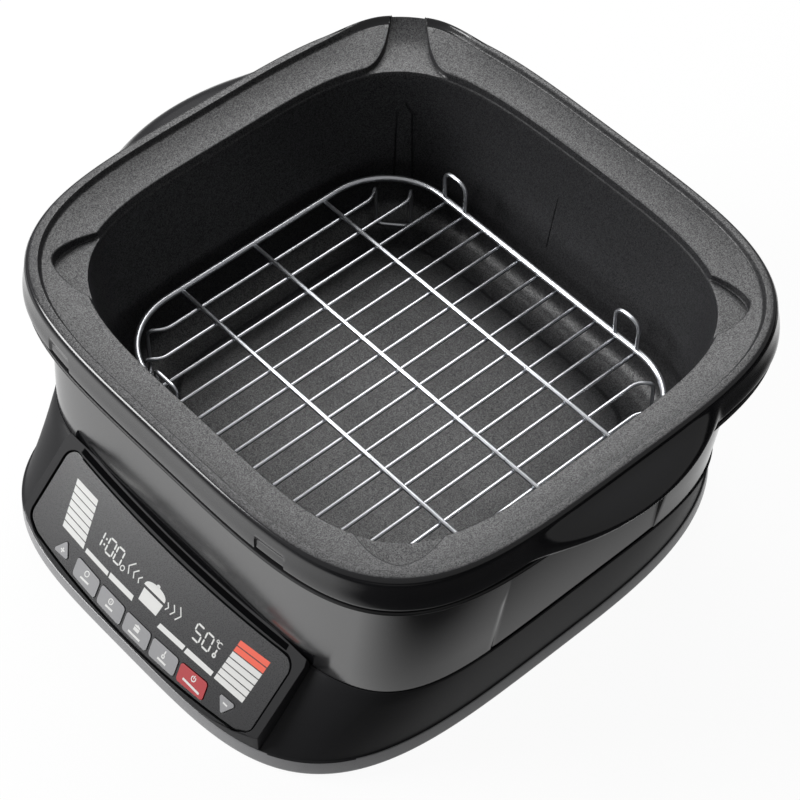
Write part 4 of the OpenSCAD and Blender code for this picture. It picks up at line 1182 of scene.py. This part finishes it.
class COOKER_OT_stage(bpy.types.Operator):
    """Pale floor, soft lights and the camera"""

    bl_idname = "cooker.stage"
    bl_label = "Stage"

    def execute(self, context):
        scene = context.scene
        scene.view_settings.view_transform = "Standard"
        deselect()
        bpy.ops.mesh.primitive_plane_add(size=14, location=(0, 0, 0))
        floor = context.object
        floor.name = "floor"
        floor.data.materials.append(self.floor_material())
        self.world(scene)
        for lamp in LAMPS:
            self.lamp(*lamp)
        self.camera(scene)
        return {"FINISHED"}

    def rays(self, tree):
        """1 for rays that the camera sees, also through glass, and 1 for glossy rays."""
        path = node(tree, "LightPath")
        both = {0: path["Is Camera Ray"], 1: path["Is Transmission Ray"]}
        return node(tree, "Math", both, operation="MAXIMUM")[0], path["Is Glossy Ray"]

    def floor_material(self):
        """White studio floor: seen as white with a faint shadow; in reflections it has painted light, bright on the
        left and near the middle, dark to the right and further out.
        """
        material, place = blank("White_studio_floor")
        seen, gloss = self.rays(material)
        shown = node(material, "Math", {0: seen, 1: FLOOR_SHOWN}, operation="MULTIPLY")[0]
        across = node(material, "SeparateXYZ", {0: place})[0]
        away = node(material, "VectorMath", {0: place}, operation="LENGTH")["Value"]
        # painted light: the floor's brightness in reflections is set by place, not by the lamps
        sides = {0: remap(material, across, *PAINTED_LIGHT_ACROSS), 1: remap(material, away, *PAINTED_LIGHT_AWAY)}
        painted_floor_light = node(material, "Math", sides, operation="MULTIPLY")[0]
        share = node(material, "Math", {0: shown, 1: gloss}, operation="MAXIMUM")[0]
        strength = node(material, "Mix", {0: gloss, 2: 1.0, 3: painted_floor_light})[0]
        matte = node(material, "BsdfDiffuse", {"Color": FLOOR_GREY})[0]
        white = node(material, "Emission", {"Color": WHITE, "Strength": strength})[0]
        both = node(material, "MixShader", {0: share, 1: matte, 2: white})[0]
        node(material, "OutputMaterial", {"Surface": both})
        return material

    def world(self, scene):
        """White where the camera sees it, dim as a light and a little brighter in glossy reflections."""
        world = scene.world or bpy.data.worlds.new("World")
        scene.world = world
        world.use_nodes = True
        world.node_tree.nodes.clear()
        seen, gloss = self.rays(world)
        ambient = node(world, "Mix", {0: gloss, 2: AMBIENT, 3: AMBIENT_GLOSS})[0]
        strength = node(world, "Mix", {0: seen, 2: ambient, 3: 1.0})[0]
        sky = node(world, "Background", {"Color": WHITE, "Strength": strength})[0]
        node(world, "OutputWorld", {"Surface": sky})

    def lamp(self, name, offset, size, power):
        place = LAMP_AIM + Vector(offset)
        bpy.ops.object.light_add(type="AREA", location=place)
        lamp = bpy.context.object
        lamp.name = name
        lamp.data.size = size
        lamp.data.energy = power
        lamp.rotation_euler = (LAMP_AIM - place).to_track_quat("-Z", "Y").to_euler()

    def camera(self, scene):
        """Camera of the photograph, with a long lens."""
        level, rise = cosine(CAMERA_RISE), sine(CAMERA_RISE)
        aim = Vector(CAMERA_AIM) * MM
        place = aim + Vector((sine(CAMERA_TURN) * level, -cosine(CAMERA_TURN) * level, rise)) * CAMERA_AWAY
        bpy.ops.object.camera_add(location=place)
        camera = bpy.context.object
        camera.rotation_euler = (aim - place).to_track_quat("-Z", "Y").to_euler()
        camera.data.sensor_width = SENSOR
        camera.data.lens = FOCAL_PX / PHOTO_PX * SENSOR
        camera.data.shift_x = SHIFT_PX / PHOTO_PX
        camera.data.dof.use_dof = False
        scene.camera = camera


STEPS = (
    COOKER_OT_hidden_parts, COOKER_OT_pot, COOKER_OT_rack, COOKER_OT_casing, COOKER_OT_base, COOKER_OT_console,
    COOKER_OT_keys, COOKER_OT_print, COOKER_OT_stage,
)


class COOKER_PT_panel(bpy.types.Panel):
    """Buttons for the pieces of the cooker"""

    bl_idname = "COOKER_PT_panel"
    bl_label = "Multicooker"
    bl_space_type = "VIEW_3D"
    bl_region_type = "UI"
    bl_category = "Cooker"

    def draw(self, context):
        for step in STEPS:
            self.layout.operator(step.bl_idname)


GROUPS = {"cooker_pot": PotSizes, "cooker_body": BodySizes, "cooker_rack": RackSizes, "cooker_finish": Finishes}
CLASSES = tuple(GROUPS.values()) + STEPS + (COOKER_PT_panel,)


def register():
    for cls in CLASSES:
        bpy.utils.register_class(cls)
    for name, group in GROUPS.items():
        setattr(bpy.types.Scene, name, PointerProperty(type=group))


def unregister():
    for name in GROUPS:
        delattr(bpy.types.Scene, name)
    for cls in reversed(CLASSES):
        bpy.utils.unregister_class(cls)


def main():
    register()
    make_finishes(bpy.context.scene.cooker_finish)
    for step in STEPS:
        group, name = step.bl_idname.split(".")
        getattr(getattr(bpy.ops, group), name)()


if __name__ == "__main__":
    main()
